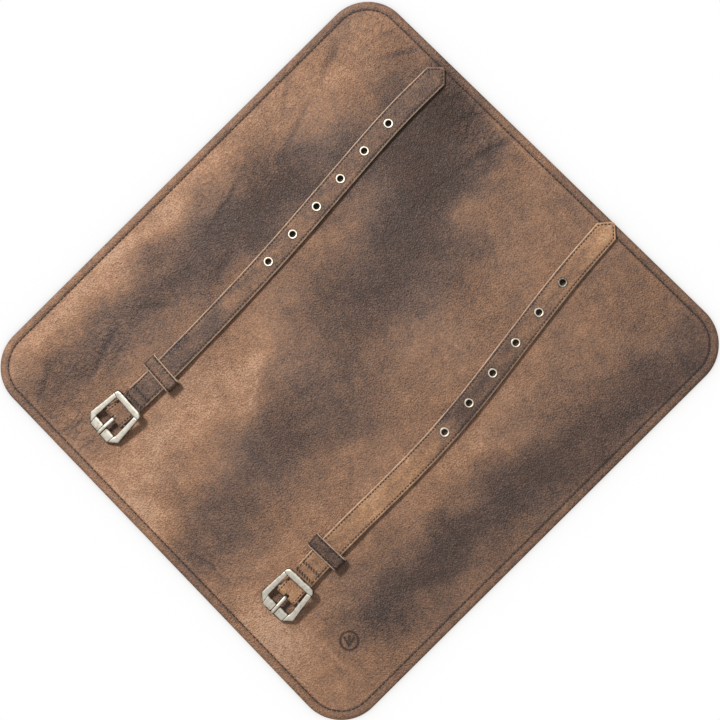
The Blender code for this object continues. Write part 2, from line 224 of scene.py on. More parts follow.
def solid(name, loops, materials, segments=None, closed=False, sharp=35):
    """An object lofted through loops. With segments, the materials round each loop, the ends take the second."""
    points, faces, material = loft(np.array(loops), closed, segments, 0 if segments is None else 1)
    return make_object(name, points, facing_out(points, faces), materials, material, sharp)


def stand_for(piece, slot, *nodes):
    """Hides the nodes that the piece replaces."""
    if nodes:
        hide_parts(*nodes)


def attach(piece, body, slot, *nodes):
    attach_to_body(piece, body)
    stand_for(piece, slot, *nodes)


def turns(count):
    """Angles all the way round."""
    return np.linspace(0, math.tau, count, endpoint=False)


def quarter_turns(steps):
    """For each corner of an upright rectangle, in order: its signs, and the angles of its arc."""
    for sx, sy, start in ((1, 1, 0), (-1, 1, 90), (-1, -1, 180), (1, -1, 270)):
        yield sx, sy, np.radians(np.linspace(start, start + 90, steps))


def cut(thing, cutters):
    """The object's mesh with closed shapes taken out of it."""
    for cutter in cutters:
        modifier = thing.modifiers.new("cut", "BOOLEAN")
        modifier.operation = "DIFFERENCE"
        modifier.solver = "EXACT"
        modifier.object = cutter
    bpy.context.view_layer.update()
    seen = thing.evaluated_get(bpy.context.evaluated_depsgraph_get())
    mesh = bpy.data.meshes.new_from_object(seen)
    thing.modifiers.clear()
    thing.data = mesh
    for cutter in cutters:
        bpy.data.objects.remove(cutter, do_unlink=True)
    mesh.shade_smooth()
    mesh.set_sharp_from_angle(angle=math.radians(35))
    return thing


def rod(name, centre, radius, length, steps=32):
    ring = np.stack([radius * np.cos(turns(steps)), radius * np.sin(turns(steps)), 0 * turns(steps)], axis=1)
    loops = np.stack([ring + np.array([0, 0, z]) for z in (-length / 2, length / 2)])
    return solid(name, loops + np.asarray(centre), [])


# ---------------------------------------------------------------- thread
def capsule():
    """A stitch of unit length along X, as loops of points, with unit radius across."""
    along = (-0.5, -0.46, -0.36, -0.12, 0.12, 0.36, 0.46, 0.5)
    width = (0.30, 0.68, 0.95, 1.0, 1.0, 0.95, 0.68, 0.30)
    loops = [[(x, w * math.cos(a), w * math.sin(a)) for a in turns(8)] for x, w in zip(along, width)]
    points, faces, _ = loft(np.array(loops))
    return points, facing_out(points, faces)


CAPSULE_POINTS, CAPSULE_FACES = capsule()


def thread_object(name, stitches, radius):
    """One mesh of stitches. Each is (centre, direction, length)."""
    points, faces = [], []
    for centre, direction, length in stitches:
        d = np.asarray(direction, float)
        d = d / np.linalg.norm(d)
        up = np.array([0.0, 0.0, 1.0]) if abs(d[2]) < 0.9 else np.array([1.0, 0.0, 0.0])
        side = np.cross(up, d)
        side /= np.linalg.norm(side)
        up = np.cross(d, side)
        base = len(points) * len(CAPSULE_POINTS)
        along, left, over = (CAPSULE_POINTS[:, i : i + 1] for i in range(3))
        points.append(np.asarray(centre) + along * length * d + left * radius * side + over * radius * up)
        faces += [tuple(base + i for i in face) for face in CAPSULE_FACES]
    return keep_rest(make_object(name, np.concatenate(points), faces, [DARK_THREAD], sharp=80))


# ---------------------------------------------------------------- materials
GRAIN = 820.0
GRAIN_WARP, FOLD_WARP = 2.2 * MM, 18 * MM
FOLD_CELLS = 150.0
TINT = (0.94, 0.985, 1.05, 1.0)


def new_material(name):
    """A material, its node tree, and its place in the rest position."""
    material = bpy.data.materials.new(name)
    material.use_nodes = True
    return material, material.node_tree, attribute(material.node_tree, "rest", "Vector")


def fill(tree, made, inputs):
    """Links or sets a node's inputs."""
    for key, value in dict(inputs).items():
        if isinstance(value, bpy.types.NodeSocket):
            tree.links.new(value, made.inputs[key])
        else:
            made.inputs[key].default_value = value
    return made


def node(tree, kind, inputs=(), **settings):
    made = tree.nodes.new(kind)
    for key, value in settings.items():
        setattr(made, key, value)
    return fill(tree, made, inputs)


def math_node(tree, operation, *values):
    return node(tree, "ShaderNodeMath", enumerate(values), operation=operation).outputs[0]


def attribute(tree, name, output="Fac"):
    return node(tree, "ShaderNodeAttribute", attribute_name=name, attribute_type="GEOMETRY").outputs[output]


def ramp(tree, factor, stops):
    made = node(tree, "ShaderNodeValToRGB", {"Fac": factor})
    elements = made.color_ramp.elements
    while len(elements) < len(stops):
        elements.new(0.5)
    for element, (place, colour) in zip(elements, stops):
        element.position = place
        element.color = (*colour, 1.0)
    return made.outputs["Color"]


def noise(tree, place, scale, detail=3.0, roughness=0.55, output="Fac"):
    inputs = {"Vector": place, "Scale": scale, "Detail": detail, "Roughness": roughness}
    return node(tree, "ShaderNodeTexNoise", inputs).outputs[output]


def cells_of(tree, place, scale, warp_scale, warp_detail, reach, feature):
    """Voronoi distance at a place that noise has pushed about."""
    push = noise(tree, place, warp_scale, warp_detail, 0.5, "Color")
    inputs = {0: push, 1: (reach, reach, reach), 2: place}
    warped = node(tree, "ShaderNodeVectorMath", inputs, operation="MULTIPLY_ADD").outputs["Vector"]
    return node(tree, "ShaderNodeTexVoronoi", {"Vector": warped, "Scale": scale}, feature=feature).outputs["Distance"]


def spread(tree, value, low, high, to_low=0.0, to_high=1.0, kind="LINEAR"):
    inputs = {"Value": value, "From Min": low, "From Max": high, "To Min": to_low, "To Max": to_high}
    return node(tree, "ShaderNodeMapRange", inputs, interpolation_type=kind).outputs["Result"]


def add_up(tree, total, *terms):
    """total plus each (value, middle, amount) as amount times value's distance above middle."""
    for value, middle, amount in terms:
        value = math_node(tree, "SUBTRACT", value, middle) if middle else value
        total = math_node(tree, "MULTIPLY_ADD", value, amount, total)
    return total


def surface(tree, height, strength, distance, **inputs):
    """Fills in the shader: its bump from height, and the inputs, whose names have _ for a space."""
    bump = {"Height": height, "Strength": strength, "Distance": distance}
    inputs = {key.replace("_", " "): value for key, value in inputs.items()}
    inputs["Normal"] = node(tree, "ShaderNodeBump", bump).outputs["Normal"]
    fill(tree, tree.nodes["Principled BSDF"], inputs)


def leather_material(name, stops, speck=0.70, cell=0.42, bump=0.84 * MM):
    """Waxed pull-up leather: tone from the piece, mottling and pebbled grain, with a painted highlight on the grain's
    tops, painted shade between them and painted shade in the fine creases.
    """
    material, tree, rest = new_material(name)
    cells = cells_of(tree, rest, GRAIN, 0.35 * GRAIN, 2.0, GRAIN_WARP, "F1")
    folds = cells_of(tree, rest, FOLD_CELLS, 42.0, 3.0, FOLD_WARP, "DISTANCE_TO_EDGE")
    large = noise(tree, rest, 38.0, 5.0, 0.6)
    middle = noise(tree, rest, 190.0, 3.0, 0.6)
    fine = noise(tree, rest, 760.0, 2.0, 0.75)
    valley = spread(tree, folds, 0.0, 0.30, 1.0, 0.0, "SMOOTHSTEP")
    valley = math_node(tree, "MULTIPLY", valley, attribute(tree, "crease"))
    # Painted light: the cells term paints the grain's tops paler and the gaps between them darker; the valley term
    # paints shade into the fine creases.
    mottle = ((large, 0.5, 0.42), (middle, 0.5, 0.378), (fine, 0.5, speck), (cells, 0.42, -cell), (valley, 0, -0.14))
    total = add_up(tree, attribute(tree, "tone"), *mottle)
    cool = spread(tree, noise(tree, rest, 21.0, 4.0, 0.6), 0.45, 0.65)
    mixed = {0: cool, 6: ramp(tree, total, stops), 7: TINT}
    tinted = node(tree, "ShaderNodeMix", mixed, data_type="RGBA", blend_type="MULTIPLY").outputs[2]
    relief = math_node(tree, "MULTIPLY", math_node(tree, "SUBTRACT", 0.7, cells), attribute(tree, "pebble"))
    relief = add_up(tree, relief, (fine, 0, 0.5), (middle, 0, 0.7), (valley, 0, -0.9))
    rough = spread(tree, total, 0.1, 0.9, 0.46, 0.64)
    surface(tree, relief, 0.9, bump, Base_Color=tinted, Roughness=rough, Specular_IOR_Level=0.35)
    return material


def raw_edge_material(name, light, dark):
    """The cut edge of a strap: pale fibres, burnished unevenly."""
    material, tree, rest = new_material(name)
    fibres = noise(tree, rest, 700.0, 4.0, 0.7)
    mixed = add_up(tree, math_node(tree, "MULTIPLY", fibres, 0.6), (noise(tree, rest, 90.0, 2.0), 0, 0.5))
    colour = ramp(tree, mixed, ((0.36, dark), (0.62, light)))
    surface(tree, fibres, 0.6, 0.12 * MM, Base_Color=colour, Roughness=0.72, Specular_IOR_Level=0.25)
    return material


def thread_material(name, dark, light):
    """Waxed thread: two plies twisted together."""
    material, tree, rest = new_material(name)
    inputs = {"Vector": rest, "Scale": 520.0, "Distortion": 1.5, "Detail": 1.0}
    plies = node(tree, "ShaderNodeTexWave", inputs, bands_direction="DIAGONAL").outputs["Fac"]
    surface(tree, plies, 0.6, 0.08 * MM, Base_Color=ramp(tree, plies, ((0.2, dark), (0.9, light))), Roughness=0.6)
    return material


def metal_material(name, dark, light, rough):
    """Antique nickel: pale where it is rubbed, dark where patina stays and where the piece's tone paints shade, with
    fine brushing.
    """
    material, tree, rest = new_material(name)
    spots = noise(tree, rest, 420.0, 4.0, 0.65)
    brushed = node(tree, "ShaderNodeMapping", {"Vector": rest, "Scale": (900.0, 4500.0, 900.0)}).outputs["Vector"]
    wear_and_shade = add_up(tree, attribute(tree, "tone"), (spots, 0.5, 1.3), (noise(tree, rest, 110.0, 3.0), 0.5, 0.8))
    colour = ramp(tree, wear_and_shade, ((0.0, dark), (0.75, light)))
    height = add_up(tree, spots, (noise(tree, brushed, 1.0, 2.0), 0, 0.4))
    roughness = spread(tree, spots, 0.3, 0.7, *rough)
    surface(tree, height, 0.5, 0.06 * MM, Base_Color=colour, Roughness=roughness, Metallic=1.0)
    return material


def suede_material(name, stops):
    """The lining's flesh side: matt nap with soft patches."""
    material, tree, rest = new_material(name)
    nap = noise(tree, rest, 1100.0, 3.0, 0.7)
    total = add_up(tree, math_node(tree, "MULTIPLY", noise(tree, rest, 45.0, 4.0), 0.6), (nap, 0, 0.4))
    finish = {"Roughness": 0.9, "Specular_IOR_Level": 0.15, "Sheen_Weight": 0.35}
    surface(tree, nap, 0.8, 0.15 * MM, Base_Color=ramp(tree, total, stops), **finish)
    return material


PANEL_STOPS = (
    (0.00, (0.066, 0.040, 0.031)),
    (0.28, (0.138, 0.080, 0.057)),
    (0.55, (0.250, 0.136, 0.082)),
    (0.82, (0.385, 0.205, 0.118)),
    (1.00, (0.540, 0.320, 0.200)),
)
STRAP_STOPS = (
    (0.00, (0.050, 0.030, 0.024)),
    (0.28, (0.120, 0.070, 0.050)),
    (0.55, (0.258, 0.138, 0.080)),
    (0.82, (0.430, 0.230, 0.118)),
    (1.00, (0.590, 0.350, 0.200)),
)
LEATHER = leather_material("waxed_leather", PANEL_STOPS)
STRAP_LEATHER = leather_material("strap_leather", STRAP_STOPS, speck=0.6, cell=0.36, bump=0.56 * MM)
KEEPER_LEATHER = leather_material("keeper_leather", STRAP_STOPS, speck=0.6, cell=0.36, bump=0.60 * MM)
RAW_EDGE = raw_edge_material("raw_edge", (0.62, 0.45, 0.32), (0.24, 0.155, 0.105))
DARK_THREAD = thread_material("dark_thread", (0.010, 0.007, 0.006), (0.050, 0.036, 0.030))
NICKEL = metal_material("antique_nickel", (0.045, 0.036, 0.028), (0.93, 0.87, 0.75), (0.40, 0.60))
EYELET_NICKEL = metal_material("eyelet_nickel", (0.030, 0.024, 0.018), (0.88, 0.80, 0.66), (0.40, 0.55))
SUEDE_STOPS = ((0.25, (0.20, 0.120, 0.072)), (0.55, (0.30, 0.185, 0.112)), (0.8, (0.40, 0.262, 0.165)))
SUEDE = suede_material("lining_suede", SUEDE_STOPS)

# ---------------------------------------------------------------- colour of the hide
# Soft patches of the waxed hide in millimetres: centre, half sizes, turn in degrees, and how much
# darker (below 0) or lighter they are.
PATCHES = (
    (-140, 146, 90, 24, -3, -0.27),
    (-10, 140, 80, 26, 0, -0.38),
    (70, 120, 62, 26, -15, -0.36),
    (160, 108, 62, 22, 0, -0.44),
    (160, 66, 55, 30, 0, -0.50),
    (108, 42, 46, 26, 10, -0.38),
    (35, 25, 52, 30, 10, -0.33),
    (-50, 2, 60, 34, 0, -0.24),
    (85, 0, 40, 26, 0, -0.20),
    (-35, -32, 30, 16, 0, -0.14),
    (-100, -118, 40, 12, 0, -0.14),
    (-112, -10, 58, 34, 5, -0.27),
    (-185, -26, 48, 34, 0, -0.25),
    (10, 62, 45, 22, 0, -0.14),
    (-98, -157, 62, 26, 0, -0.35),
    (-10, -160, 95, 25, 0, -0.38),
    (95, -176, 80, 24, 0, -0.31),
    (185, -188, 50, 20, 0, -0.28),
    (-196, -140, 26, 40, 0, 0.10),
    (-150, 58, 75, 26, 0, 0.24),
    (-70, 46, 50, 16, 20, 0.20),
    (-200, -100, 38, 32, 0, 0.34),
    (-60, 188, 150, 16, 0, 0.30),
    (150, 165, 62, 20, -5, 0.20),
    (20, -108, 95, 20, 3, 0.14),
    (-120, -72, 40, 16, 0, 0.10),
    (150, -40, 45, 40, 0, 0.06),
    (212, 20, 16, 40, 0, 0.26),
    (-208, 20, 12, 40, 0, 0.30),
    (-40, -42, 40, 14, 0, -0.10),
    (110, -12, 34, 22, 0, -0.10),
    (-60, -132, 50, 10, 0, 0.05),
)
PATCH_POWER = 1.08
# Faint pale scratches in millimetres: from, to, half width, strength.
SCRATCHES = (
    ((-128, 66), (-101, 48), 1.2, 0.30),
    ((-118, 66), (-104, 54), 0.9, 0.18),
    ((-84, 30), (-66, 41), 1.6, 0.26),
    ((-191, -28), (-190, -66), 1.2, 0.20),
    ((-175, -136), (-171, -178), 2.6, 0.20),
    ((-148, -106), (-131, -134), 1.2, 0.24),
    ((138, 98), (152, 76), 1.6, 0.22),
    ((118, 104), (128, 92), 1.4, 0.16),
    ((60, -30), (62, -66), 2.0, 0.12),
    ((-60, -28), (-40, -22), 1.0, 0.10),
)
# Creases in millimetres: from, to, half width, depth.
WRINKLES = (
    ((-204, 146), (-172, 168), 2.6, 0.34),
    ((-162, 133), (-112, 150), 3.2, 0.40),
    ((-150, 126), (-120, 134), 2.4, 0.24),
    ((-94, 147), (-72, 129), 3.2, 0.34),
    ((-38, 120), (-6, 129), 2.8, 0.26),
    ((-14, 148), (44, 166), 3.6, 0.40),
    ((66, 150), (122, 170), 3.6, 0.34),
    ((94, 176), (118, 190), 2.4, 0.36),
    ((130, 171), (168, 187), 3.2, 0.36),
    ((110, 47), (160, 45), 3.4, 0.42),
    ((160, 45), (208, 33), 3.4, 0.46),
    ((174, 30), (206, 52), 2.4, 0.24),
    ((128, 100), (156, 76), 2.6, 0.30),
    ((174, 98), (206, 84), 2.6, 0.36),
    ((170, 80), (205, 64), 2.6, 0.42),
    ((180, 60), (204, 72), 2.2, 0.30),
    ((-82, -75), (-58, -57), 3.0, 0.28),
    ((-207, 120), (-176, 110), 3.2, 0.36),
    ((-204, 100), (-184, 96), 2.6, 0.26),
    ((180, 152), (207, 134), 2.4, 0.30),
    ((176, 168), (206, 158), 2.4, 0.26),
    ((-196, -20), (-190, -64), 3.2, 0.20),
    ((-150, -104), (-128, -136), 2.6, 0.24),
)
# Where the hide is finely creased, in millimetres: centre, half sizes, strength.
CREASED = (
    (190, 78, 26, 34, 0.95),
    (120, 44, 60, 14, 0.5),
    (190, 160, 26, 30, 0.5),
    (60, 176, 80, 18, 0.4),
    (-140, 146, 70, 22, 0.55),
    (-196, 110, 20, 30, 0.6),
    (0, 140, 60, 22, 0.35),
    (-150, -120, 40, 30, 0.3),
    (-190, -40, 24, 40, 0.3),
)
# Where the grain is coarse, in the same way.
COARSE = (
    (192, 80, 22, 32, 1.0),
    (195, 150, 20, 26, 0.6),
    (-195, 150, 22, 30, 0.4),
)
MARK_CENTRE = (-157 * MM, -153.5 * MM)
MARK_RADIUS = 7.0 * MM
MARK_NEAR = MARK_RADIUS + 2 * MM
MARK_LINE = 0.72 * MM
MARK_DEPTH = 0.55 * MM


def spot(x, y, cx, cy, rx, ry, turn=0, power=1):
    """1 at a spot's centre, falling away over its half sizes, which are in millimetres as its centre is."""
    c, s = math.cos(math.radians(turn)), math.sin(math.radians(turn))
    dx, dy = x - cx * MM, y - cy * MM
    return np.exp(-((((dx * c + dy * s) / (rx * MM)) ** 2 + ((dy * c - dx * s) / (ry * MM)) ** 2) ** power))


def along_segment(x, y, start, end):
    """Distance from a segment given in millimetres, and the share of the way along it."""
    ax, ay = start[0] * MM, start[1] * MM
    dx, dy = end[0] * MM - ax, end[1] * MM - ay
    share = np.clip(((x - ax) * dx + (y - ay) * dy) / (dx * dx + dy * dy), 0, 1)
    return np.hypot(x - ax - share * dx, y - ay - share * dy), share


def strokes(x, y, lines):
    """The sum of soft lines that fade towards their ends and waver a little."""
    total = np.zeros(np.shape(x))
    waver = 1.4 * MM * waves(x, y, 5, 6, 14 * MM, 40 * MM)
    for start, end, width, strength in lines:
        off, share = along_segment(x + waver, y - waver, start, end)
        total += strength * bell(off, 0.8 * width * MM) * (0.35 + 0.65 * np.sin(math.pi * share))
    return total


def mark(x, y):
    """A plain pressed mark: a ring round three spread strokes. 1 in its lines, 0 elsewhere."""
    u, v = x - MARK_CENTRE[0], y - MARK_CENTRE[1]
    pressed = bell(np.hypot(u, v) - MARK_RADIUS, MARK_LINE)
    for turn in (-32, 0, 32):
        a = math.radians(turn + 45)
        du, dv = math.cos(a), math.sin(a)
        share = np.clip((u + 2.6 * MM) * du + (v + 2.6 * MM) * dv, 0, 7.2 * MM)
        off = np.hypot(u + 2.6 * MM - share * du, v + 2.6 * MM - share * dv)
        pressed = np.maximum(pressed, bell(off, MARK_LINE * 1.15))
    return pressed


def patches(x, y, base=0.62):
    """The hide's tone, from 0, dark wax, to 1, pale and rubbed."""
    bend_x = x + 9 * MM * waves(x, y, 11, 7, 35 * MM, 110 * MM)
    bend_y = y + 8 * MM * waves(x, y, 12, 7, 35 * MM, 110 * MM)
    total = np.full(np.shape(x), base)
    for *place, amount in PATCHES:
        total += amount * spot(bend_x, bend_y, *place, power=PATCH_POWER)
    total = base + 1.12 * (total - base) - 0.35 * x
    total += 0.05 * waves(x, y, 21, 9, 12 * MM, 40 * MM)
    return total


def edge_distance(x, y):
    """How far a point of the panel is from the panel's outline."""
    qx = np.abs(x) - (HALF_LENGTH - CORNER)
    qy = np.abs(y) - (HALF_WIDTH - CORNER)
    outside = np.hypot(np.maximum(qx, 0), np.maximum(qy, 0))
    return CORNER - outside - np.minimum(np.maximum(qx, qy), 0)


def panel_tone(points):
    x, y = points[:, 0], points[:, 1]
    d = edge_distance(x, y)
    total = np.clip(patches(x, y), 0.06, 1.0)
    total += strokes(x, y, SCRATCHES)
    # Painted shade: the hide is darker along each crease.
    total -= 0.75 * strokes(x, y, WRINKLES)
    hem = smooth((HEM - d) / (1.6 * MM))
    shade = 0.36 + 0.10 * smooth((-y - 120 * MM) / (60 * MM)) + 0.05 * waves(x, y, 31, 6, 20 * MM, 60 * MM)
    total = total * (1 - 0.5 * hem) + 0.5 * hem * shade
    # Painted highlight along the crest of the puffed hem.
    total += 0.08 * bell(d - 3.4 * MM, 1.6 * MM)
    # Painted shade in the hem's stitch groove.
    total -= 0.18 * bell(d - HEM_STITCH_INSET, 0.5 * MM)
    total -= 0.10 * bell(d - HEM_STITCH_INSET, 2.0 * MM)
    # Painted highlight along the groove's inner edge.
    total += 0.08 * bell(d - 9.4 * MM, 1.2 * MM)
    total -= 0.80 * mark(x, y)
    # Painted shade on the panel under each buckle's frame.
    for line in STRAP_LINES.values():
        total -= 0.50 * bell(np.hypot((x - line[0, 0] + 6 * MM) * 1.2, y - line[0, 1]), 10 * MM)
    # Painted shade on the panel under each eyelet's hole, seen through it.
    for number in (1, 2):
        for spot_x, spot_y, _, _ in eyelet_places(number):
            total -= 0.40 * bell(np.hypot(x - spot_x, y - spot_y), 2.4 * MM)
    return np.clip(total, 0.02, 1.0)


def panel_pebble(points):
    """How strong the grain is: rougher by the +X edge, where the hide is creased."""
    x, y = points[:, 0], points[:, 1]
    rough = 0.75 + 0.3 * waves(x, y, 41, 6, 40 * MM, 120 * MM)
    for *place, amount in COARSE:
        rough += amount * spot(x, y, *place)
    return np.clip(rough, 0.2, 2.0)


def under_strap(x, y):
    """1 where a strap, a keeper or a buckle lies over the panel, 0 well away from them."""
    covered = np.zeros(np.shape(x))
    for line in STRAP_LINES.values():
        off = np.abs(y - centre_line(line, x)[0])
        along = smooth((x - line[0, 0] + 28 * MM) / (6 * MM)) * smooth((line[-1, 0] + 6 * MM - x) / (6 * MM))
        covered = np.maximum(covered, along * smooth((24 * MM - off) / (7 * MM)))
    return covered


def rounded(d, radius):
    """Height share of a rounded edge at distance d from it."""
    return np.sqrt(np.clip(1 - (1 - np.clip(d / radius, 0, 1)) ** 2, 0, 1))


def panel_top(x, y):
    """Height of the outer leather: gentle waves, creases, the puffy hem with its stitch groove."""
    d = edge_distance(x, y)
    inner = smooth((d - 9 * MM) / (14 * MM))
    z = PANEL_TOP + inner * (0.22 * MM * waves(x, y, 3, 8, 60 * MM, 180 * MM) - 0.12 * MM)
    z = z - 1.5 * MM * strokes(x, y, WRINKLES) * smooth((d - 2 * MM) / (6 * MM))
    z = np.minimum(z, PANEL_TOP + 0.3 * MM * (1 - under_strap(x, y)))
    z = z - MARK_DEPTH * mark(x, y)
    puff = HEM_PUFF * bell(d - 3.9 * MM, 2.3 * MM) * (1 + 0.35 * waves(x, y, 7, 6, 9 * MM, 30 * MM))
    z = z + puff - HEM_GROOVE * bell(d - HEM_STITCH_INSET, 0.75 * MM)
    return RIM_HEIGHT + (z - RIM_HEIGHT) * rounded(d, RIM_RADII[0])


def panel_bottom(x, y):
    """Height of its underside: the turned hem lies on the table, the skin stands over the lining."""
    d = edge_distance(x, y)
    return np.where(d < HEM, RIM_HEIGHT * (1 - rounded(d, RIM_RADII[1])), SKIN_BOTTOM)


# ---------------------------------------------------------------- panel pieces
def panel_creases():
    """(x, body on the -X side, body on the +X side) of each crease across the panel."""
    joints = [(name, j) for name, j in JOINTS.items() if name.startswith(("roll_", "edge_crease"))]
    sides = {"roll": ("parent", "child"), "edge": ("child", "parent")}
    return sorted((j["pos_m"][0], *(j[side] for side in sides[name[:4]])) for name, j in joints)


def spaced(start, end, step):
    return np.linspace(start, end, max(2, round(abs(end - start) / step) + 1))


def row_shares():
    """Rows across the panel as shares of its half width, closer together at the pressed mark."""
    inner = HALF_WIDTH - RING
    rows = [y for y in spaced(-inner, inner, GRID) if abs(y - MARK_CENTRE[1]) > MARK_NEAR]
    rows += list(spaced(MARK_CENTRE[1] - MARK_NEAR, MARK_CENTRE[1] + MARK_NEAR, FINE_GRID))
    return np.array(sorted(rows, reverse=True)) / inner


def columns_between(x0, x1):
    xs = spaced(x0, x1, GRID)
    if x0 < MARK_CENTRE[0] < x1:
        xs = np.array([x for x in xs if abs(x - MARK_CENTRE[0]) > MARK_NEAR or x in (x0, x1)])
        fine = spaced(MARK_CENTRE[0] - MARK_NEAR, MARK_CENTRE[0] + MARK_NEAR, FINE_GRID)
        xs = np.unique(np.concatenate([xs, fine[(fine > x0 + 0.2 * MM) & (fine < x1 - 0.2 * MM)]]))
    return xs


def grid_quads(n, m):
    return [(a := i * m + j, a + m, a + m + 1, a + 1) for i in range(n - 1) for j in range(m - 1)]


def plan_of_middle(x0, x1, shares):
    """Plan points and faces of a strip that runs from edge to edge."""
    xs = columns_between(x0, x1)
    inner = HALF_WIDTH - RING
    rim = HALF_WIDTH - np.array(RING_STEPS)
    rows = np.concatenate([rim, shares * inner, -rim[::-1]])
    grid = np.stack(np.meshgrid(xs, rows, indexing="ij"), axis=-1)
    return grid.reshape(-1, 2), grid_quads(*grid.shape[:2])


def plan_of_end(cut_x, side, shares):
    """Plan points and faces of the strip at one end, with the panel's two round corners.

    It is laid out for the +X end, and mirrored where side is -1."""
    start = cut_x * side
    centre_x, centre_y = HALF_LENGTH - CORNER, HALF_WIDTH - CORNER
    small = CORNER - RING
    angles = np.linspace(0, math.pi / 2, CORNER_STEPS + 1)[1:]
    straight = spaced(start, centre_x, GRID)
    xs = np.concatenate([straight, centre_x + small * np.sin(angles)])
    limits = np.concatenate([np.full(len(straight), HALF_WIDTH - RING), centre_y + small * np.cos(angles)])
    inside = np.stack([np.repeat(xs[:, None], len(shares), 1), limits[:, None] * shares[None, :]], axis=-1)
    n, m = inside.shape[:2]
    quads = grid_quads(n, m)
    arc = [(i * m, math.sin(a), math.cos(a)) for i, a in enumerate(angles, len(straight))]
    edge = [(i * m, x) for i, x in enumerate(straight)]
    run = [(x, HALF_WIDTH, 0.0, -1.0, i) for i, x in edge]
    run += [(centre_x + CORNER * s, centre_y + CORNER * c, -s, -c, i) for i, s, c in arc]
    run += [(HALF_LENGTH, shares[j] * centre_y, -1.0, 0.0, (n - 1) * m + j) for j in range(1, m - 1)]
    run += [(centre_x + CORNER * s, -centre_y - CORNER * c, -s, c, i + m - 1) for i, s, c in reversed(arc)]
    run += [(x, -HALF_WIDTH, 0.0, 1.0, i + m - 1) for i, x in reversed(edge)]
    joined = [place for *_, place in run]
    run = np.array(run)[:, :4]
    steps = np.array(RING_STEPS)
    ring = run[:, None, :2] + run[:, None, 2:] * steps[None, :, None]
    levels = len(steps)

    def at(i, j):
        return joined[i] if j == levels else n * m + i * levels + j

    for i in range(len(run) - 1):
        quads += [(at(i, j), at(i + 1, j), at(i + 1, j + 1), at(i, j + 1)) for j in range(levels)]
    points = np.concatenate([inside.reshape(-1, 2), ring.reshape(-1, 2)])
    points[:, 0] *= side
    return points, quads


def closed_from_plan(points, quads, top, bottom):
    """A closed shape over plan faces. Top and bottom meet along the panel's rim."""
    x, y = points[:, 0], points[:, 1]
    high = np.column_stack([x, y, top(x, y)])
    low = np.column_stack([x, y, bottom(x, y)])
    rim = edge_distance(x, y) < 1e-6
    count = len(points)
    under = np.where(rim, np.arange(count), count + np.arange(count))
    faces, edges = [], {}
    for quad in quads:
        p = points[list(quad)]
        area = np.sum(p[:, 0] * np.roll(p[:, 1], -1) - np.roll(p[:, 0], -1) * p[:, 1])
        quad = quad if area > 0 else tuple(reversed(quad))
        faces.append(quad)
        faces.append(tuple(int(under[i]) for i in reversed(quad)))
        for a, b in zip(quad, quad[1:] + quad[:1]):
            if (b, a) in edges:
                del edges[(b, a)]
            else:
                edges[(a, b)] = True
    for a, b in edges:
        if rim[a] and rim[b]:
            continue
        wall = [b, a, int(under[a]), int(under[b])]
        wall = [v for i, v in enumerate(wall) if v != wall[i - 1]]
        faces.append(tuple(wall))
    all_points = np.concatenate([high, low])
    used = np.zeros(len(all_points), bool)
    for face in faces:
        used[list(face)] = True
    place = np.cumsum(used) - 1
    return all_points[used], [tuple(int(place[i]) for i in face) for face in faces]


def hem_stitches():
    """Stitches round the panel, HEM_STITCH_INSET in from its outline."""
    radius = CORNER - HEM_STITCH_INSET
    half_x, half_y = HALF_LENGTH - CORNER, HALF_WIDTH - CORNER
    path = []
    for sx, sy, arc in quarter_turns(25):
        path += [(sx * half_x + radius * math.cos(a), sy * half_y + radius * math.sin(a)) for a in arc]
    return stitch_path(path + path[:1], HEM_STITCH_PITCH)


def stitch_path(path, pitch, fill=0.70):
    """(x, y, dx, dy, length) of stitches spaced evenly along a path."""
    path = np.array(path, float)
    steps = np.hypot(*np.diff(path, axis=0).T)
    total = np.concatenate([[0], np.cumsum(steps)])
    count = max(1, round(total[-1] / pitch))
    pitch = total[-1] / count
    places = (np.arange(count) + 0.5) * pitch
    ends = [places - pitch * fill / 2, places + pitch * fill / 2]
    a, b = (np.column_stack([np.interp(e, total, path[:, k]) for k in (0, 1)]) for e in ends)
    middle, way = (a + b) / 2, b - a
    return [(m[0], m[1], w[0], w[1], float(np.hypot(*w))) for m, w in zip(middle, way)]


def build_panel():
    creases = panel_creases()
    xs = [c[0] for c in creases]
    cuts = [-HALF_LENGTH] + [(a + b) / 2 for a, b in zip(xs, xs[1:])] + [HALF_LENGTH]
    shares = row_shares()
    stitches = hem_stitches()
    for k, crease in enumerate(creases):
        x, x0, x1 = crease[0], cuts[k], cuts[k + 1]
        start = x - (x1 - x) if k == 0 else x0
        end = x + (x - x0) if k == len(creases) - 1 else x1
        if x == JOINTS["roll_up"]["pos_m"][0]:
            start = x - 4 * MM
        if k == 0:
            plan = plan_of_end(x1, -1, shares)
        elif k == len(creases) - 1:
            plan = plan_of_end(x0, 1, shares)
        else:
            plan = plan_of_middle(x0, x1, shares)
        points, faces = closed_from_plan(*plan, panel_top, panel_bottom)
        nodes = [f"outer_leather_{k + 1:02d}"] + ["outer_leather_12"] * (k == len(creases) - 1)
        piece = make_object(f"hide_{k + 1:02d}", points, faces, [LEATHER])
        keep_rest(piece, tone=panel_tone, pebble=panel_pebble, crease=panel_crease)
        bend(piece, crease, (start, end), "outer_leather", *nodes)

        mine = [s for s in stitches if x0 <= s[0] < x1 or (k == len(creases) - 1 and s[0] >= x1)]
        heights = [float(panel_top(np.array([s[0]]), np.array([s[1]]))[0]) + 0.12 * MM for s in mine]
        placed = [((sx, sy, z), (dx, dy, 0.0), length) for z, (sx, sy, dx, dy, length) in zip(heights, mine)]
        thread = thread_object(f"hem_thread_{k + 1:02d}", placed, HEM_THREAD)
        bend(thread, crease, (start, end), "outer_leather")

        build_lining(k, creases, cuts, (start, end))


def bend(piece, crease, span, slot, *nodes):
    """Fixes the piece's place into its mesh and hides the nodes it replaces."""
    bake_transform(piece)
    stand_for(piece, slot, *nodes)


LINING_INSET = 8.3 * MM
SEAM_PITCH = 5.0 * MM


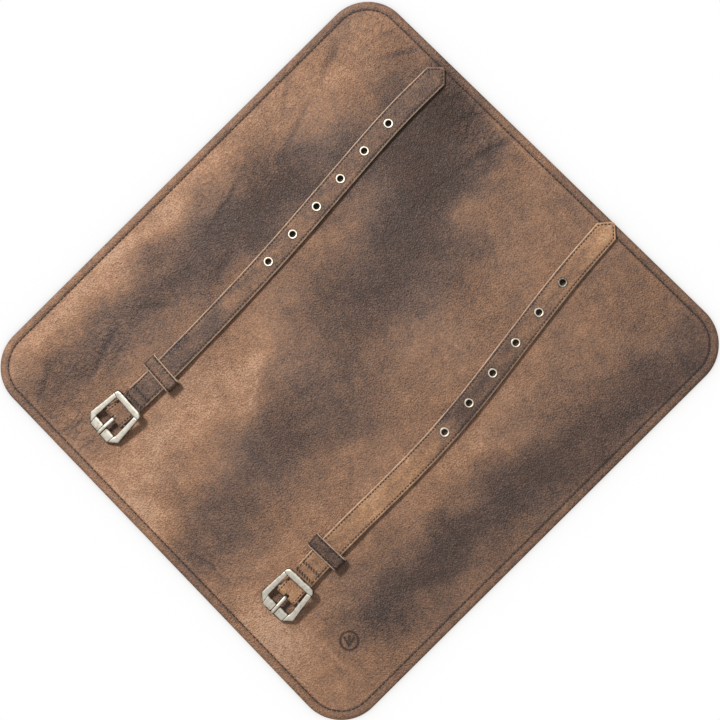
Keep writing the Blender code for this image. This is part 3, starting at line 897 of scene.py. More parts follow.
def build_lining(k, creases, cuts, span):
    """The lining behind one crease, with the pocket seam along it."""
    crease_x = creases[k][0]
    limit = HALF_LENGTH - LINING_INSET
    x0, x1 = max(cuts[k], -limit), min(cuts[k + 1], limit)
    xs = spaced(x0, x1, 3.2 * MM)
    xs = np.unique(np.concatenate([xs, crease_x + np.array([-1.6, -0.8, 0, 0.8, 1.6]) * MM]))
    radius = CORNER - LINING_INSET
    past = np.abs(xs) - (HALF_LENGTH - CORNER)
    drop = np.where(past > 0, radius - np.sqrt(np.maximum(radius**2 - past**2, 0)), 0)
    lowest = -(HALF_WIDTH - LINING_INSET - drop)
    ys = lowest[:, None] + (LINING_HIGH.y - lowest)[:, None] * np.linspace(0, 1, 90)[None, :]
    grid_x = np.repeat(xs[:, None], 90, 1)
    seam = bell(grid_x - crease_x, 1.1 * MM)
    wave = 0.10 * MM * waves(grid_x, ys, 51, 7, 25 * MM, 90 * MM)
    low = 0.24 * MM + 0.34 * MM * seam + np.abs(wave)
    high = np.full(low.shape, 1.02 * MM)
    top = np.stack([grid_x, ys, high], -1)
    under = np.stack([grid_x, ys, low], -1)[:, ::-1]
    piece = keep_rest(solid(f"lining_{k + 1:02d}", np.concatenate([top, under], axis=1), [SUEDE]))
    nodes = [f"pocket_lining_{k + 1:02d}"] + ["pocket_lining_12"] * (k == len(creases) - 1)
    bend(piece, creases[k], span, "pocket_lining", *nodes)
    seam_low = float(np.interp(crease_x, xs, lowest)) + 2 * MM
    path = [(crease_x, seam_low), (crease_x, LINING_HIGH.y - 2 * MM)]
    placed = [((x, y, 0.42 * MM), (dx, dy, 0), length) for x, y, dx, dy, length in stitch_path(path, SEAM_PITCH)]
    thread = thread_object(f"seam_thread_{k + 1:02d}", placed, SEAM_THREAD)
    bend(thread, creases[k], span, "pocket_lining")


# ---------------------------------------------------------------- straps
def strap_line(number):
    """The strap's centre line as stations (x, y, slope), read from its hinges and its point."""
    names = [f"strap_{number}_lift"] + [f"strap_{number}_crease_{i}" for i in range(1, 7)]
    hinges = [JOINTS[name] for name in names]
    stations = [(*j["pos_m"][:2], -j["axis"][0] / j["axis"][1]) for j in hinges]
    bar = JOINTS[f"buckle_{number}_tilt"]["pos_m"]
    first = (stations[0][1] - bar[1]) / (stations[0][0] - bar[0])
    tip_points = np.array([v.co for v in frame["nodes"][f"strap_{number}_section_7"].data.vertices])
    tip = tip_points[tip_points[:, 0] > tip_points[:, 0].max() - 0.3 * MM].mean(0)
    last = (tip[1] - stations[-1][1]) / (tip[0] - stations[-1][0])
    stations = [(bar[0], bar[1], first)] + stations + [(tip[0], tip[1], last)]
    return np.array(stations), hinges


def centre_line(line, x):
    """y and heading of a strap's centre line at x."""
    x = np.asarray(x, float)
    k = np.clip(np.searchsorted(line[:, 0], x) - 1, 0, len(line) - 2)
    span = line[k + 1, 0] - line[k, 0]
    t = (x - line[k, 0]) / span
    ya, yb, ma, mb = line[k, 1], line[k + 1, 1], line[k, 2] * span, line[k + 1, 2] * span
    y = (2 * t**3 - 3 * t**2 + 1) * ya + (t**3 - 2 * t**2 + t) * ma + (3 * t**2 - 2 * t**3) * yb + (t**3 - t**2) * mb
    slope = ((6 * t**2 - 6 * t) * (ya - yb) + (3 * t**2 - 4 * t + 1) * ma + (3 * t**2 - 2 * t) * mb) / span
    return y, np.arctan(slope)


def on_strap(line, x, across, z):
    y, heading = centre_line(line, x)
    return np.stack(np.broadcast_arrays(x - np.sin(heading) * across, y + np.cos(heading) * across, z), axis=-1)


def strap_lift(number, line, x):
    """How far the strap hangs below or above its level at x: it settles onto the panel past the keeper."""
    from_bar = x - line[0, 0]
    settle = smooth((from_bar - SAG_FROM) / (SAG_TO - SAG_FROM))
    ripple = 0.22 * MM * np.sin(from_bar * math.tau / (105 * MM) + number) * settle
    return -STRAP_SAG * settle + ripple


def strap_edge(line, x, across):
    """Distance from the strap's outline, with its point."""
    tip = line[-1, 0]
    slant = (POINT_BLUNT + (tip - x) * POINT_RATE - np.abs(across)) / math.hypot(1, POINT_RATE)
    return np.minimum(np.minimum(STRAP_HALF - np.abs(across), slant), np.maximum(tip - x, 0) + 0.02 * MM)


def strap_half_width(line, x):
    return np.minimum(STRAP_HALF, POINT_BLUNT + np.maximum(line[-1, 0] - x, 0) * POINT_RATE)


SIDE_STEPS = [MM * d for d in (0, 0.55, 0.8, 1.1, 1.45, 1.75, 2.05, 2.4, 3.2, 4.6, 6.4, 8.2)]


def face_height(edge, thickness):
    """The top face's height over the strap's middle: rounded cut edge, stitch groove, slight crown."""
    drop = EDGE_DROP * np.clip(1 - edge / EDGE_BAND, 0, 1) ** 2
    groove = 0.22 * MM * bell(edge - EDGE_STITCH_INSET, 0.42 * MM)
    crown = 0.10 * MM * smooth(edge / (4 * MM))
    return thickness / 2 - drop - groove + crown


def belt_section(half, steps, low, middle):
    """Places round a strap: those of its top face, then its sides and underside as (across, height)."""
    across = np.concatenate([half - steps, [0.0], -(half - steps)[::-1]])
    side = [(half * 0.5, low), (half - 0.18 * MM, low + 0.02 * MM), (half, middle - 0.1 * MM)]
    return across, np.array([(-q, z) for q, z in reversed(side)] + side)


def strap_loops(number, line, xs, dent):
    """Loops round the free strap at each x. A dent is where the second cross row pulls it down."""
    middle, thickness = (STRAP_LOW + STRAP_HIGH) / 2, STRAP_HIGH - STRAP_LOW
    loops = []
    for x, half in zip(xs, strap_half_width(line, xs)):
        steps = np.array(SIDE_STEPS) * min(1.0, half / STRAP_HALF)
        across, side = belt_section(half, steps, STRAP_LOW, middle)
        edge = np.minimum(strap_edge(line, x, across), half - np.abs(across))
        z = middle + face_height(edge, thickness)
        if dent:
            z = z - ROW_DENT * bell(x - line[0, 0] - CROSS_ROWS[1], 0.9 * MM)
        z = np.concatenate([z, side[:, 1]]) + strap_lift(number, line, x)
        across = np.concatenate([across, side[:, 0]])
        loops.append(on_strap(line, np.full(len(across), x), across, z))
    return np.array(loops)


def strap_segments():
    """Material of each face round a strap: 1 on the cut edges, 0 on the faces."""
    across = 2 * len(SIDE_STEPS) + 1
    material = [0] * (across + 6)
    for j in (0, across - 2, across - 1, across, across + 4, across + 5):
        material[j] = 1
    return material


# Each strap's tone, and its darker or lighter stretches in millimetres from the bar: place, half length, amount.
STRAP_TONES = {
    1: (0.40, ((30, 22, -0.03), (75, 35, -0.12), (140, 30, 0.04), (205, 40, 0.05), (345, 40, -0.08))),
    2: (
        0.66,
        ((38, 20, -0.04), (95, 45, 0.12), (198, 32, -0.38), (245, 26, -0.26), (300, 28, -0.12), (368, 20, 0.18)),
    ),
}


def strap_tone(number, line):
    base, spots = STRAP_TONES[number]

    def tone(points):
        from_bar = (points[:, 0] - line[0, 0]) / MM
        total = base + sum(amount * bell(from_bar - place, width) for place, width, amount in spots)
        total = total + 0.10 * waves(points[:, 0], points[:, 1] * 2.5, 60 + number, 9, 8 * MM, 45 * MM)
        y, heading = centre_line(line, points[:, 0])
        across = (points[:, 1] - y) * np.cos(heading)
        edge = strap_edge(line, points[:, 0], across)
        # Painted shade in the edge stitch grooves; a paler band along the cut edges.
        total = total - 0.12 * bell(edge - EDGE_STITCH_INSET, 0.5 * MM) + 0.08 * bell(edge - 0.6 * MM, 0.6 * MM)
        # Painted highlight on the fold's crest over the buckle's bar.
        total = total + 0.15 * smooth((11 - from_bar) / 4) * smooth((points[:, 2] - 5 * MM) / (3 * MM))
        # Painted shade along the two cross rows, where the stitches pull the strap down.
        for row in CROSS_ROWS:
            total = total - 0.24 * bell(from_bar * MM - row, 1.3 * MM)
        return np.clip(total, 0.03, 1.0)

    return tone


def panel_crease(points):
    """How strong the net of fine creases is, by place in the hide."""
    x, y = points[:, 0], points[:, 1]
    net = np.full(len(x), 0.10) + 0.10 * np.clip(waves(x, y, 44, 5, 60 * MM, 150 * MM), 0, 1)
    for *place, amount in CREASED:
        net += amount * spot(x, y, *place)
    return np.clip(net, 0, 1) * smooth((edge_distance(x, y) - 7 * MM) / (4 * MM))


def no_crease(points):
    return np.zeros(len(points))


def plain_pebble(points):
    return np.full(len(points), 0.7)


def strap_stitches(number, line, x0, x1):
    """Edge stitches of both sides between two places, following the strap's point."""
    tip, inset = line[-1, 0], EDGE_STITCH_INSET
    off = inset * math.hypot(1, POINT_RATE)
    turn_x = tip - (STRAP_HALF - inset - POINT_BLUNT + off) / POINT_RATE
    apex_x = tip - inset - 0.5 * MM
    apex = max(0.35 * MM, POINT_BLUNT + (tip - apex_x) * POINT_RATE - off)
    made = []
    start = line[0, 0] + 10 * MM
    for side in (1, -1):
        path = [(start, STRAP_HALF - inset), (turn_x, STRAP_HALF - inset), (apex_x, apex)]
        for x, q, dx, dq, length in stitch_path(path, EDGE_STITCH_PITCH, 0.62):
            if not x0 <= x < x1:
                continue
            z = STRAP_HIGH - STITCH_SINK + strap_lift(number, line, x)
            if UNDER_FRAME[0] < x - line[0, 0] < UNDER_FRAME[1]:
                z -= UNDER_FRAME_SINK
            a, b = (on_strap(line, x + s * dx / 2, side * (q + s * dq / 2), z) for s in (-1, 1))
            made.append(((a + b) / 2, b - a, length))
    return made


def cross_row(number, line, from_bar):
    """A row of stitches across the strap that pulls its leather down."""
    made = []
    count = 7
    for i in range(count):
        across = (i - (count - 1) / 2) * 2.55 * MM
        for side in (-1, 1):
            x = line[0, 0] + from_bar + side * 0.55 * MM
            centre = on_strap(line, x, across + side * 0.35 * MM, STRAP_HIGH - 0.16 * MM)
            way = on_strap(line, x + 0.7 * MM, across + 1.2 * MM, 0.0) - on_strap(line, x, across, 0.0)
            made.append((centre, way, 1.9 * MM))
    return made


def fold_stitches(line):
    """Edge stitches where the strap goes over the bar."""
    made = []
    crest = BAR_HEIGHT + FOLD_RADIUS - STRAP_HIGH
    for s in np.arange(-1.6, 9.5, 2.4) * MM:
        for side in (-1, 1):
            ends = []
            for place in (s - 0.8 * MM, s + 0.8 * MM):
                over = math.sqrt(FOLD_RADIUS**2 - place**2) - FOLD_RADIUS if place < 0.6 * MM else 0.0
                along = (place - 0.6 * MM) / (9.5 * MM)
                fall = crest * (1 - float(smooth(along) * 0.35 + np.clip(along, 0, 1) * 0.65))
                z = STRAP_HIGH - STITCH_SINK + fall + over
                ends.append(on_strap(line, line[0, 0] + place, side * (FOLD_HALF - 1.5 * MM), z))
            made.append(((ends[0] + ends[1]) / 2, ends[1] - ends[0], 1.7 * MM))
    return made


def fold_loops(line):
    """Loops along the sewn end: over layer, round the buckle's bar, and back as the under layer."""
    half_skin = FOLD_SKIN / 2
    top_z, low_z = STRAP_HIGH - half_skin - 0.05 * MM, BASE_LOW + 0.75 * MM
    radius = FOLD_RADIUS - half_skin
    leave = 8.5 * MM
    rise = top_z - BAR_HEIGHT
    reach = math.hypot(leave, rise)
    touch = math.atan2(rise, leave) + math.acos(radius / reach)
    path = [(s, top_z, 1.0) for s in np.linspace(22.5 * MM, leave + 1.5 * MM, 12)]
    a0 = np.array([leave, rise])
    a1 = radius * np.array([math.cos(touch), math.sin(touch)])
    for t in np.linspace(0, 1, 6)[:-1]:
        p = a0 + (a1 - a0) * t
        path.append((p[0], BAR_HEIGHT + p[1], 1.0))
    for a in np.linspace(touch, math.radians(262), 26):
        path.append((radius * math.cos(a), BAR_HEIGHT + radius * math.sin(a), 1.0))
    for s in np.linspace(2.2 * MM, 28.6 * MM, 18):
        path.append((s, low_z, 0.78))
    path = np.array(path)
    for _ in range(2):
        path[1:-1, :2] = (path[:-2, :2] + 2 * path[1:-1, :2] + path[2:, :2]) / 4
    way = np.gradient(path[:, :2], axis=0)
    way /= np.linalg.norm(way, axis=1)[:, None]
    normal = np.column_stack([way[:, 1], -way[:, 0]])
    loops = []
    for (s, z, share), n in zip(path, normal):
        half = FOLD_HALF + (STRAP_HALF - FOLD_HALF) * smooth((s - 11 * MM) / (5 * MM))
        half = half if share == 1.0 else half - 0.25 * MM
        across, side = belt_section(half, np.array(SIDE_STEPS), -FOLD_SKIN * share / 2, 0.0)
        out = face_height(half - np.abs(across), FOLD_SKIN * share)
        if share == 1.0:
            for row in CROSS_ROWS:
                out = out - ROW_DENT * bell(s - row, 0.9 * MM)
        across = np.concatenate([across, side[:, 0]])
        out = np.concatenate([out, side[:, 1]])
        x = line[0, 0] + s - out * n[0]
        z_all = z - out * n[1]
        loops.append(on_strap(line, x, across, z_all))
    return np.array(loops)


def build_strap(number):
    line, hinges = strap_line(number)
    tone = strap_tone(number, line)
    bar = line[0, 0]
    materials = [STRAP_LEATHER, RAW_EDGE]

    fold = solid(f"strap_{number}_fold", fold_loops(line), materials, strap_segments())
    slot_box = rod("slot", (0, 0, 0), 1.0, 1.0, steps=4)
    y, heading = centre_line(line, bar)
    slot_box.data.transform(
        Matrix.Translation((bar, float(y), BAR_HEIGHT + 1.9 * MM))
        @ Matrix.Rotation(float(heading), 4, "Z")
        @ Matrix.Translation((-2.15 * MM, 0, 0))
        @ Matrix.Diagonal((*SLOT_SIZE, 1.0))
        @ Matrix.Rotation(math.radians(45), 4, "Z")
    )
    cut(fold, [slot_box])
    keep_rest(fold, tone=tone, pebble=plain_pebble, crease=no_crease)
    attach(fold, "panel_middle", "strap", f"strap_{number}_base")
    sewn = cross_row(number, line, CROSS_ROWS[0]) + cross_row(number, line, CROSS_ROWS[1])
    sewn += strap_stitches(number, line, bar + 11 * MM, bar + SEWN_END) + fold_stitches(line)
    attach(thread_object(f"strap_{number}_sewn_thread", sewn, SEWN_THREAD), "panel_middle", "strap")

    xs = [j["pos_m"][0] for j in hinges]
    cuts = [bar + 22.6 * MM] + [(a + b) / 2 for a, b in zip(xs, xs[1:])] + [line[-1, 0]]
    eyelets = eyelet_places(number)
    for i, joint in enumerate(hinges):
        x0, x1 = cuts[i], cuts[i + 1]
        stations = spaced(x0, x1 - (POINT_LENGTH + 0.2 * MM if i == 6 else 0), 1.3 * MM)
        if i == 6:
            stations = np.concatenate([stations, spaced(x1 - POINT_LENGTH, x1, 0.4 * MM)])
        loops = strap_loops(number, line, stations, dent=i == 0)
        piece = solid(f"strap_{number}_belt_{i + 1}", loops, materials, strap_segments())
        holes = [e for e in eyelets if x0 < e[0] < x1]
        if holes:
            cut(piece, [rod("hole", (*e[:2], STRAP_HIGH - 2 * MM), EYELET_HOLE + 0.5 * MM, 8 * MM) for e in holes])
        keep_rest(piece, tone=tone, pebble=plain_pebble, crease=no_crease)
        stitches = strap_stitches(number, line, max(x0, bar + SEWN_END), x1)
        thread = thread_object(f"strap_{number}_edge_thread_{i + 1}", stitches, STRAP_THREAD)
        way = Vector((joint["axis"][1], -joint["axis"][0], 0.0))
        way = way if way.x > 0 else -way
        for soft in (piece, thread):
            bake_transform(soft)
            stand_for(soft, "strap", *([f"strap_{number}_section_{i + 1}"] if soft is piece else []))
    build_eyelets(number, line, eyelets)


def eyelet_places(number):
    """(x, y, body, node) of each eyelet."""
    found = []
    for name in (f"strap_{number}_eyelet_{i}" for i in range(1, 7)):
        low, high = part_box(name)
        found.append(((low.x + high.x) / 2, (low.y + high.y) / 2, frame["nodes"][name]["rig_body"], name))
    return found


def build_eyelets(number, line, eyelets):
    """Turned rings: a rolled lip over the strap, a barrel through it and a flatter lip under it."""
    r, h = EYELET_RADIUS, EYELET_HOLE
    top = STRAP_HIGH + 0.05 * MM
    low = STRAP_LOW - 0.25 * MM
    lip = [(r + 0.7 * MM * (math.cos(a) - 1), math.sin(a)) for a in np.radians(np.linspace(0, 90, 8))]
    lip += [(h + 0.75 * MM * (1 - math.cos(a)), math.sin(a)) for a in np.radians(np.linspace(90, 0, 7))]
    profile = [(x, top + 0.50 * MM * z) for x, z in lip]
    profile += [(h, low), (h + 0.2 * MM, low - 0.12 * MM), (r - 0.5 * MM, low), (r - 0.3 * MM, low + 0.15 * MM)]
    profile += [(h + 0.45 * MM, low + 0.3 * MM), (h + 0.45 * MM, top - 0.05 * MM), (r, top - 0.05 * MM)]
    out, up = np.array(profile).T
    for x, y, body, node_name in eyelets:
        settle = float(strap_lift(number, line, x))
        loops = [np.column_stack([x + out * math.cos(a), y + out * math.sin(a), up + settle]) for a in turns(40)]
        ring = solid(f"{node_name}_ring", loops, [EYELET_NICKEL], closed=True)
        rub_and_shade = 1.0 if node_name != "strap_2_eyelet_6" else 0.34

        def ring_tone(p):
            r = np.hypot(p[:, 0] - x, p[:, 1] - y)
            # Pale on the rubbed crest; darker on the inner lip and the outer flank, as patina and as painted shade.
            band = smooth((r - 2.45 * MM) / (0.25 * MM)) * (1 - 0.8 * smooth((r - 3.25 * MM) / (0.4 * MM)))
            return rub_and_shade * band * smooth((p[:, 2] - settle - top + 0.1 * MM) / (0.25 * MM))

        attach(keep_rest(ring, tone=ring_tone), body, "eyelet", node_name)


# ---------------------------------------------------------------- keepers
def keeper_wave(number, q):
    """How the keeper's top rises and falls across the strap."""
    return 0.12 * MM * math.sin(q / (5.5 * MM) + number)


def build_keeper(number):
    """A stitched leather loop round the strap, slightly puffed between its two rows of stitches."""
    low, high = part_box(f"keeper_{number}")
    centre = (low + high) / 2
    heading = math.atan2(*reversed(JOINTS[f"keeper_{number}_slide"]["axis"][:2])) + KEEPER_TURN[number]
    width, height = KEEPER_SIZE
    flat_x, flat_z = width / 2 - KEEPER_CORNER, height / 2 - KEEPER_CORNER
    outline = []
    for sx, sz, arc in quarter_turns(9):
        for ca, sa in ((math.cos(a), math.sin(a)) for a in arc):
            outline.append((sx * flat_x + KEEPER_CORNER * ca, sz * flat_z + KEEPER_CORNER * sa, ca, sa))
        if sx == sz:
            flat = np.linspace(10.5, -10.5, 22 if sx > 0 else 12) * sx * MM
            outline += [(q, sz * height / 2, 0.0, float(sz)) for q in flat]
    steps = np.array([0, 0.25, 0.6, 1.0, 1.35, 1.65, 1.95, 2.4, 3.4, 4.6]) * MM
    half = KEEPER_HALF_LENGTH
    along = np.concatenate([half - steps, [0.0], -(half - steps)[::-1]])
    edge = half - np.abs(along)
    out = -0.45 * MM * np.clip(1 - edge / (0.6 * MM), 0, 1) ** 2
    out = out - 0.24 * MM * bell(edge - KEEPER_ROW, 0.4 * MM) + 0.22 * MM * smooth((edge - 1.8 * MM) / (3 * MM))
    out = np.concatenate([out, [-0.8, -1.2, -1.3, -1.3, -1.2, -0.8] * np.array(MM)])
    inside = [half * 0.5, half - 0.2 * MM, half]
    along = np.concatenate([along, [-q for q in reversed(inside)] + inside])
    turn = np.array([math.cos(heading), math.sin(heading), 0.0])
    cross = np.array([-math.sin(heading), math.cos(heading), 0.0])
    loops = []
    for q, z, nq, nz in outline:
        place = np.array(centre) + cross * q + np.array([0, 0, z])
        normal = cross * nq + np.array([0, 0, nz])
        puff = np.minimum(out, 0) if nz < -0.2 else out + keeper_wave(number, q) * (nz > 0.5)
        loops.append(place + turn * along[:, None] + normal * puff[:, None])
    segment = [0] * len(along)
    for j in (0, 1, -9, -8, -7, -6, -2, -1):
        segment[j] = 1
    piece = solid(f"keeper_{number}_band", loops, [KEEPER_LEATHER, RAW_EDGE], segment, closed=True)
    base = 0.37 if number == 1 else 0.27

    def band_tone(p):
        ends = np.abs((p - np.array(centre)) @ cross)
        cloud = waves(p[:, 0] * 2, p[:, 1] * 2, 70 + number, 7, 8 * MM, 30 * MM)
        # Painted shade on the keeper's ends, where it rounds down over the strap's edges.
        return base + 0.10 * cloud - 0.20 * smooth((ends - 12 * MM) / (2.5 * MM))

    keep_rest(piece, tone=band_tone, pebble=plain_pebble, crease=no_crease)
    stitches = []
    for side in (-1, 1):
        row = np.array(centre) + turn * side * (half - KEEPER_ROW)
        for q in np.arange(-4, 5) * KEEPER_PITCH:
            up = height / 2 + keeper_wave(number, q) - 0.02 * MM
            stitches.append((row + cross * q + np.array([0, 0, up]), cross, 2.0 * MM))
        for flank in (-1, 1):
            stitches.append((row + cross * flank * (width / 2 + 0.02 * MM), np.array([0.0, 0.0, 1.0]), 1.75 * MM))
    attach(piece, f"keeper_{number}_loop", "keeper", f"keeper_{number}")
    attach(thread_object(f"keeper_{number}_thread", stitches, KEEPER_THREAD), f"keeper_{number}_loop", "keeper")


# ---------------------------------------------------------------- buckles
def arc_points(cx, cy, radius, start, end, steps):
    arc = np.radians(np.linspace(start, end, steps))
    return [(cx + radius * math.cos(a), cy + radius * math.sin(a)) for a in arc]


def frame_stations():
    """Pairs of outer and inner points round the buckle's frame, in millimetres from its bar."""
    right = [((16.8, 10.0 * t), (11.2, 9.0 * t)) for t in np.linspace(0, 1, 12)]
    corner = list(zip(arc_points(12.6, 10.0, 4.2, 4, 86, 9), arc_points(9.9, 9.0, 1.3, 4, 86, 9)))
    side = [
        ((12.6 + (-12.2 - 12.6) * t, 14.2 + (16.6 - 14.2) * t), (9.9 + (-10.2 - 9.9) * t, 10.3 + (11.1 - 10.3) * t))
        for t in np.linspace(0, 1, 24)
    ]
    wide = list(zip(arc_points(-12.3, 15.6, 1.0, 84, 136, 4), arc_points(-10.2, 9.8, 1.3, 96, 110, 4)))
    chop = [
        ((-13.2 + (-19.3 + 13.2) * t, 16.3 + (9.8 - 16.3) * t), p)
        for t, p in zip(np.linspace(0.06, 1, 9), arc_points(-10.2, 9.8, 1.3, 113, 176, 9))
    ]
    left = [((-19.6, 9.2 * t), (-11.5, 9.5 * t)) for t in np.linspace(1, 0, 26)]
    upper = right + corner + side + wide + chop + left
    lower = [((o[0], -o[1]), (i[0], -i[1])) for o, i in reversed(upper)]
    return upper[:-1] + lower[:-1]


MITRES = (
    ((11.3, 10.1), (12.3, 16.0)),
    ((11.3, -10.1), (12.3, -16.0)),
    ((-11.2, 10.6), (-21.0, 10.0)),
    ((-11.2, -10.6), (-21.0, -10.0)),
)
# The frame's section: share of the way out, and height in millimetres.
FRAME_SHARES = (0.0, 0.0, 0.0, 0.05, 0.14, 0.30, 0.50, 0.70, 0.84, 0.93, 1.0, 1.02, 1.0, 0.90, 0.50, 0.10)
FRAME_HEIGHTS = (0.3, 1.2, 2.15, 2.48, 2.68, 2.76, 2.8, 2.78, 2.68, 2.42, 2.0, 1.2, 0.4, 0.06, 0.0, 0.06)
BAR_RADIUS, BAR_END = 1.5 * MM, 12.3 * MM
# The prong's ring on the bar: radius and place along the bar, in millimetres.
RING_SECTION = (
    *((2.75, -1.1), (2.9, -0.9), (2.9, 0.9), (2.75, 1.1)),
    *((1.95, 1.1), (1.85, 0.9), (1.85, -0.9), (1.95, -1.1)),
)


def to_world(number):
    """From a buckle's own axes to the frame's: the bar along Y at the origin, the frame tilted up at +X."""
    joint = JOINTS[f"buckle_{number}_tilt"]
    turn = math.atan2(-joint["axis"][0], joint["axis"][1])
    place = Matrix.Translation(joint["pos_m"])
    return place @ Matrix.Rotation(turn, 4, "Z") @ Matrix.Rotation(-FRAME_TILT, 4, "Y")


def frame_groove(p, z):
    """How far the frame is cut down at a point of its top, in millimetres: its mitres and the prong's notch."""
    groove = 0.0
    for start, end in MITRES:
        way = np.subtract(end, start)
        share = np.clip(np.dot(p - start, way) / np.dot(way, way), 0, 1)
        groove = max(groove, 0.42 * float(bell(math.dist(p, start + share * way), 0.30)))
    if p[0] < -11:
        groove = max(groove, float(smooth((1.95 - abs(p[1])) / 0.45)) * (z - 1.80))
    return groove


def metal_piece(name, parts, place):
    """One object of several lofts, each (loops, closed), moved to its place. Gives its points before the move too."""
    points, faces = np.zeros((0, 3)), []
    for loops, closed in parts:
        more, sides, _ = loft(np.array(loops), closed)
        faces += [tuple(len(points) + i for i in face) for face in facing_out(more, sides)]
        points = np.concatenate([points, more])
    piece = make_object(name, points, faces, [NICKEL], sharp=50)
    piece.data.transform(place)
    return keep_rest(piece), points


def build_buckle(number):
    place = to_world(number)
    stations = frame_stations()
    loops, grooves = [], []
    for (oa, ia), (ob, ib) in zip(stations, stations[1:] + stations[:1]):
        steps = max(1, round(math.dist(oa, ob) / 0.35))
        for t in np.arange(steps) / steps:
            outer = np.array(oa) + (np.array(ob) - oa) * t
            inner = np.array(ia) + (np.array(ib) - ia) * t
            section = [(inner + (outer - inner) * share, z) for share, z in zip(FRAME_SHARES, FRAME_HEIGHTS)]
            cuts = [frame_groove(p, z) if z > 2.1 else 0.0 for p, z in section]
            loops.append([(p[0] * MM, p[1] * MM, (z - deep) * MM) for (p, z), deep in zip(section, cuts)])
            grooves += cuts
    bar = [[(BAR_RADIUS * math.cos(a), y, BAR_RADIUS * math.sin(a)) for a in turns(20)] for y in (-BAR_END, BAR_END)]
    shape, points = metal_piece(f"buckle_{number}_metal", ((loops, True), (bar, False)), place)
    on_frame = np.arange(len(points)) < len(grooves)
    # Pale on the rubbed tops; the walls below them are darkened as painted shade.
    rub_and_shade = np.where(on_frame, 0.12 + 0.74 * smooth((points[:, 2] - 2.35 * MM) / (0.35 * MM)), 0.3)
    # Darker in the mitre joints, and painted shade in the prong's notch.
    rub_and_shade[on_frame] -= 1.3 * np.minimum(grooves, 0.6)
    add_attribute(shape, "tone", np.clip(rub_and_shade, 0, 1))
    attach(shape, f"buckle_{number}", "buckle", f"buckle_{number}_frame")
    build_prong(number, place)


def build_prong(number, place):
    """The prong: a ring round the bar and a tapered arm that rests in the frame's notch."""
    arm = []
    for x in np.concatenate([np.linspace(-1.0, -17.6, 30), np.linspace(-17.9, -19.3, 8)]):
        top = np.interp(-x, (0, 11.5, 17.0, 19.3), (1.9, 4.25, 4.35, 3.55))
        low = np.interp(-x, (0, 11.8, 19.3), (-0.5, 2.2, 2.55))
        tip = max(0.02, 1 - max(0.0, (-x - 17.9) / 1.42) ** 2.2) ** 0.5
        half, tall = (1.45 + 0.30 * x / 19.3) * tip, (top - low) / 2 * tip
        loop = []
        for c, s in ((math.cos(a), math.sin(a)) for a in turns(16)):
            across = math.copysign(abs(c) ** 0.62, c) * half
            up = math.copysign(abs(s) ** 0.7, s) * tall
            loop.append((x * MM, across * MM, ((top + low) / 2 + up) * MM))
        arm.append(loop)
    ring = [[(r * MM * math.cos(a), y * MM, r * MM * math.sin(a)) for r, y in RING_SECTION] for a in turns(32)]
    shape, points = metal_piece(f"buckle_{number}_tongue", ((arm, False), (ring, True)), place)
    on_arm = smooth((-points[:, 0] - 2 * MM) / (2 * MM))
    add_attribute(shape, "tone", 0.1 + 0.82 * smooth(points[:, 2] / (2.4 * MM)) * on_arm)
    attach(shape, f"prong_{number}", "buckle", f"buckle_{number}_prong")


# ---------------------------------------------------------------- floor, light, camera
CAMERA_DISTANCE = 0.900
CAMERA_LEAN = math.radians(4.2)
CAMERA_TURN = math.radians(45.25)
VIEW_CENTRE = Vector((0.7 * MM, -5.9 * MM, PANEL_TOP))
VIEW_WIDTH = 0.5587
DOME = 0.42
KEY_SIZE, KEY_ENERGY, KEY_COLOUR = 0.34, 30.8, (1.0, 0.985, 0.96)
KEY_PLACE = (0.134, 1.206, 1.302)
FLOOR_HALF, FLOOR_HEIGHT = 4.0, -0.2 * MM
FLOOR_REACH = 0.035
FLOOR_SHADES = ((0.10, (0.30, 0.27, 0.25)), (0.50, (0.72, 0.70, 0.69)), (1.0, (1.0, 1.0, 1.0)))


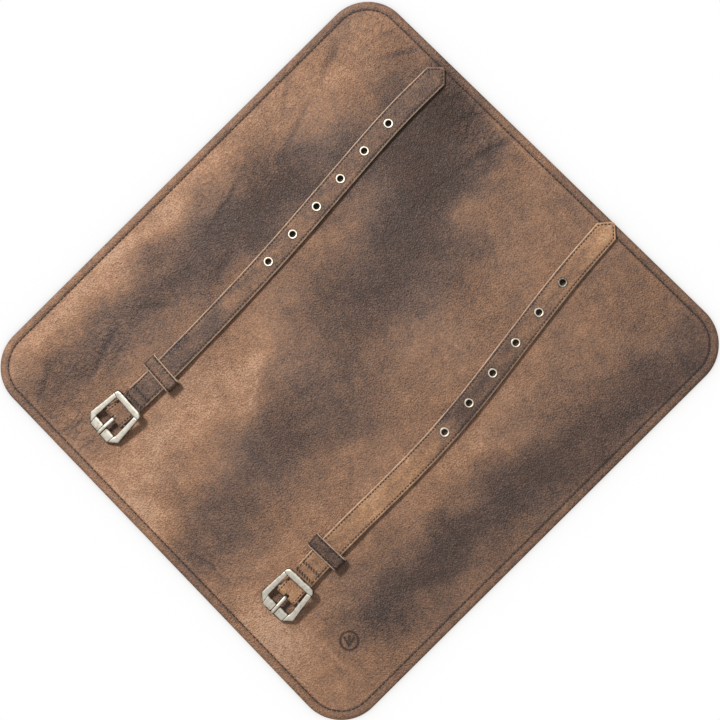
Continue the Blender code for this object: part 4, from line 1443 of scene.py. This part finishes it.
def build_stage():
    scene = bpy.context.scene
    material, tree, _ = new_material("pale_floor_painted_contact_shadow")
    # Painted contact shadow: the floor is a clear sheet that ambient occlusion darkens where the case lies near it.
    near = node(tree, "ShaderNodeAmbientOcclusion", {"Distance": FLOOR_REACH}, samples=12).outputs["AO"]
    clear = node(tree, "ShaderNodeBsdfTransparent", {"Color": ramp(tree, near, FLOOR_SHADES)})
    tree.links.new(clear.outputs[0], tree.nodes["Material Output"].inputs["Surface"])
    corners = [(x * FLOOR_HALF, y * FLOOR_HALF, FLOOR_HEIGHT) for x, y in ((-1, -1), (1, -1), (1, 1), (-1, 1))]
    floor = make_object("floor", corners, [(0, 1, 2, 3)], [material])
    floor.visible_shadow = floor.visible_diffuse = floor.visible_glossy = False

    world = bpy.data.worlds.new("studio")
    world.use_nodes = True
    seen = node(world.node_tree, "ShaderNodeLightPath").outputs["Is Camera Ray"]
    strength = math_node(world.node_tree, "MULTIPLY_ADD", seen, 1.0 - DOME, DOME)
    world.node_tree.nodes["Background"].inputs["Color"].default_value = (1.0, 1.0, 1.0, 1)
    world.node_tree.links.new(strength, world.node_tree.nodes["Background"].inputs["Strength"])
    scene.world = world
    scene.view_settings.view_transform = "Standard"

    area = bpy.data.lights.new("key", "AREA")
    area.shape = "DISK"
    area.size, area.energy, area.color = KEY_SIZE, KEY_ENERGY, KEY_COLOUR
    key = bpy.data.objects.new("key", area)
    scene.collection.objects.link(key)
    key.location = KEY_PLACE
    key.rotation_mode = "QUATERNION"
    key.rotation_quaternion = (-key.location).to_track_quat("-Z", "Y")

    data = bpy.data.cameras.new("view")
    data.sensor_width = 36.0
    data.lens = data.sensor_width * CAMERA_DISTANCE / VIEW_WIDTH
    data.clip_start, data.clip_end = 0.01, 20.0
    camera = bpy.data.objects.new("view", data)
    scene.collection.objects.link(camera)
    back = Vector((0.0, -math.sin(CAMERA_LEAN), math.cos(CAMERA_LEAN)))
    up = Vector((math.cos(CAMERA_TURN), math.sin(CAMERA_TURN), 0.0))
    right = up.cross(back).normalized()
    up = back.cross(right)
    turn = Matrix((right, up, back)).transposed().to_4x4()
    camera.matrix_world = Matrix.Translation(VIEW_CENTRE + back * CAMERA_DISTANCE) @ turn
    scene.camera = camera


# ---------------------------------------------------------------- everything
STRAP_LINES = {number: strap_line(number)[0] for number in (1, 2)}
build_stage()
build_panel()
for strap_number in (1, 2):
    build_strap(strap_number)
    build_keeper(strap_number)
    build_buckle(strap_number)
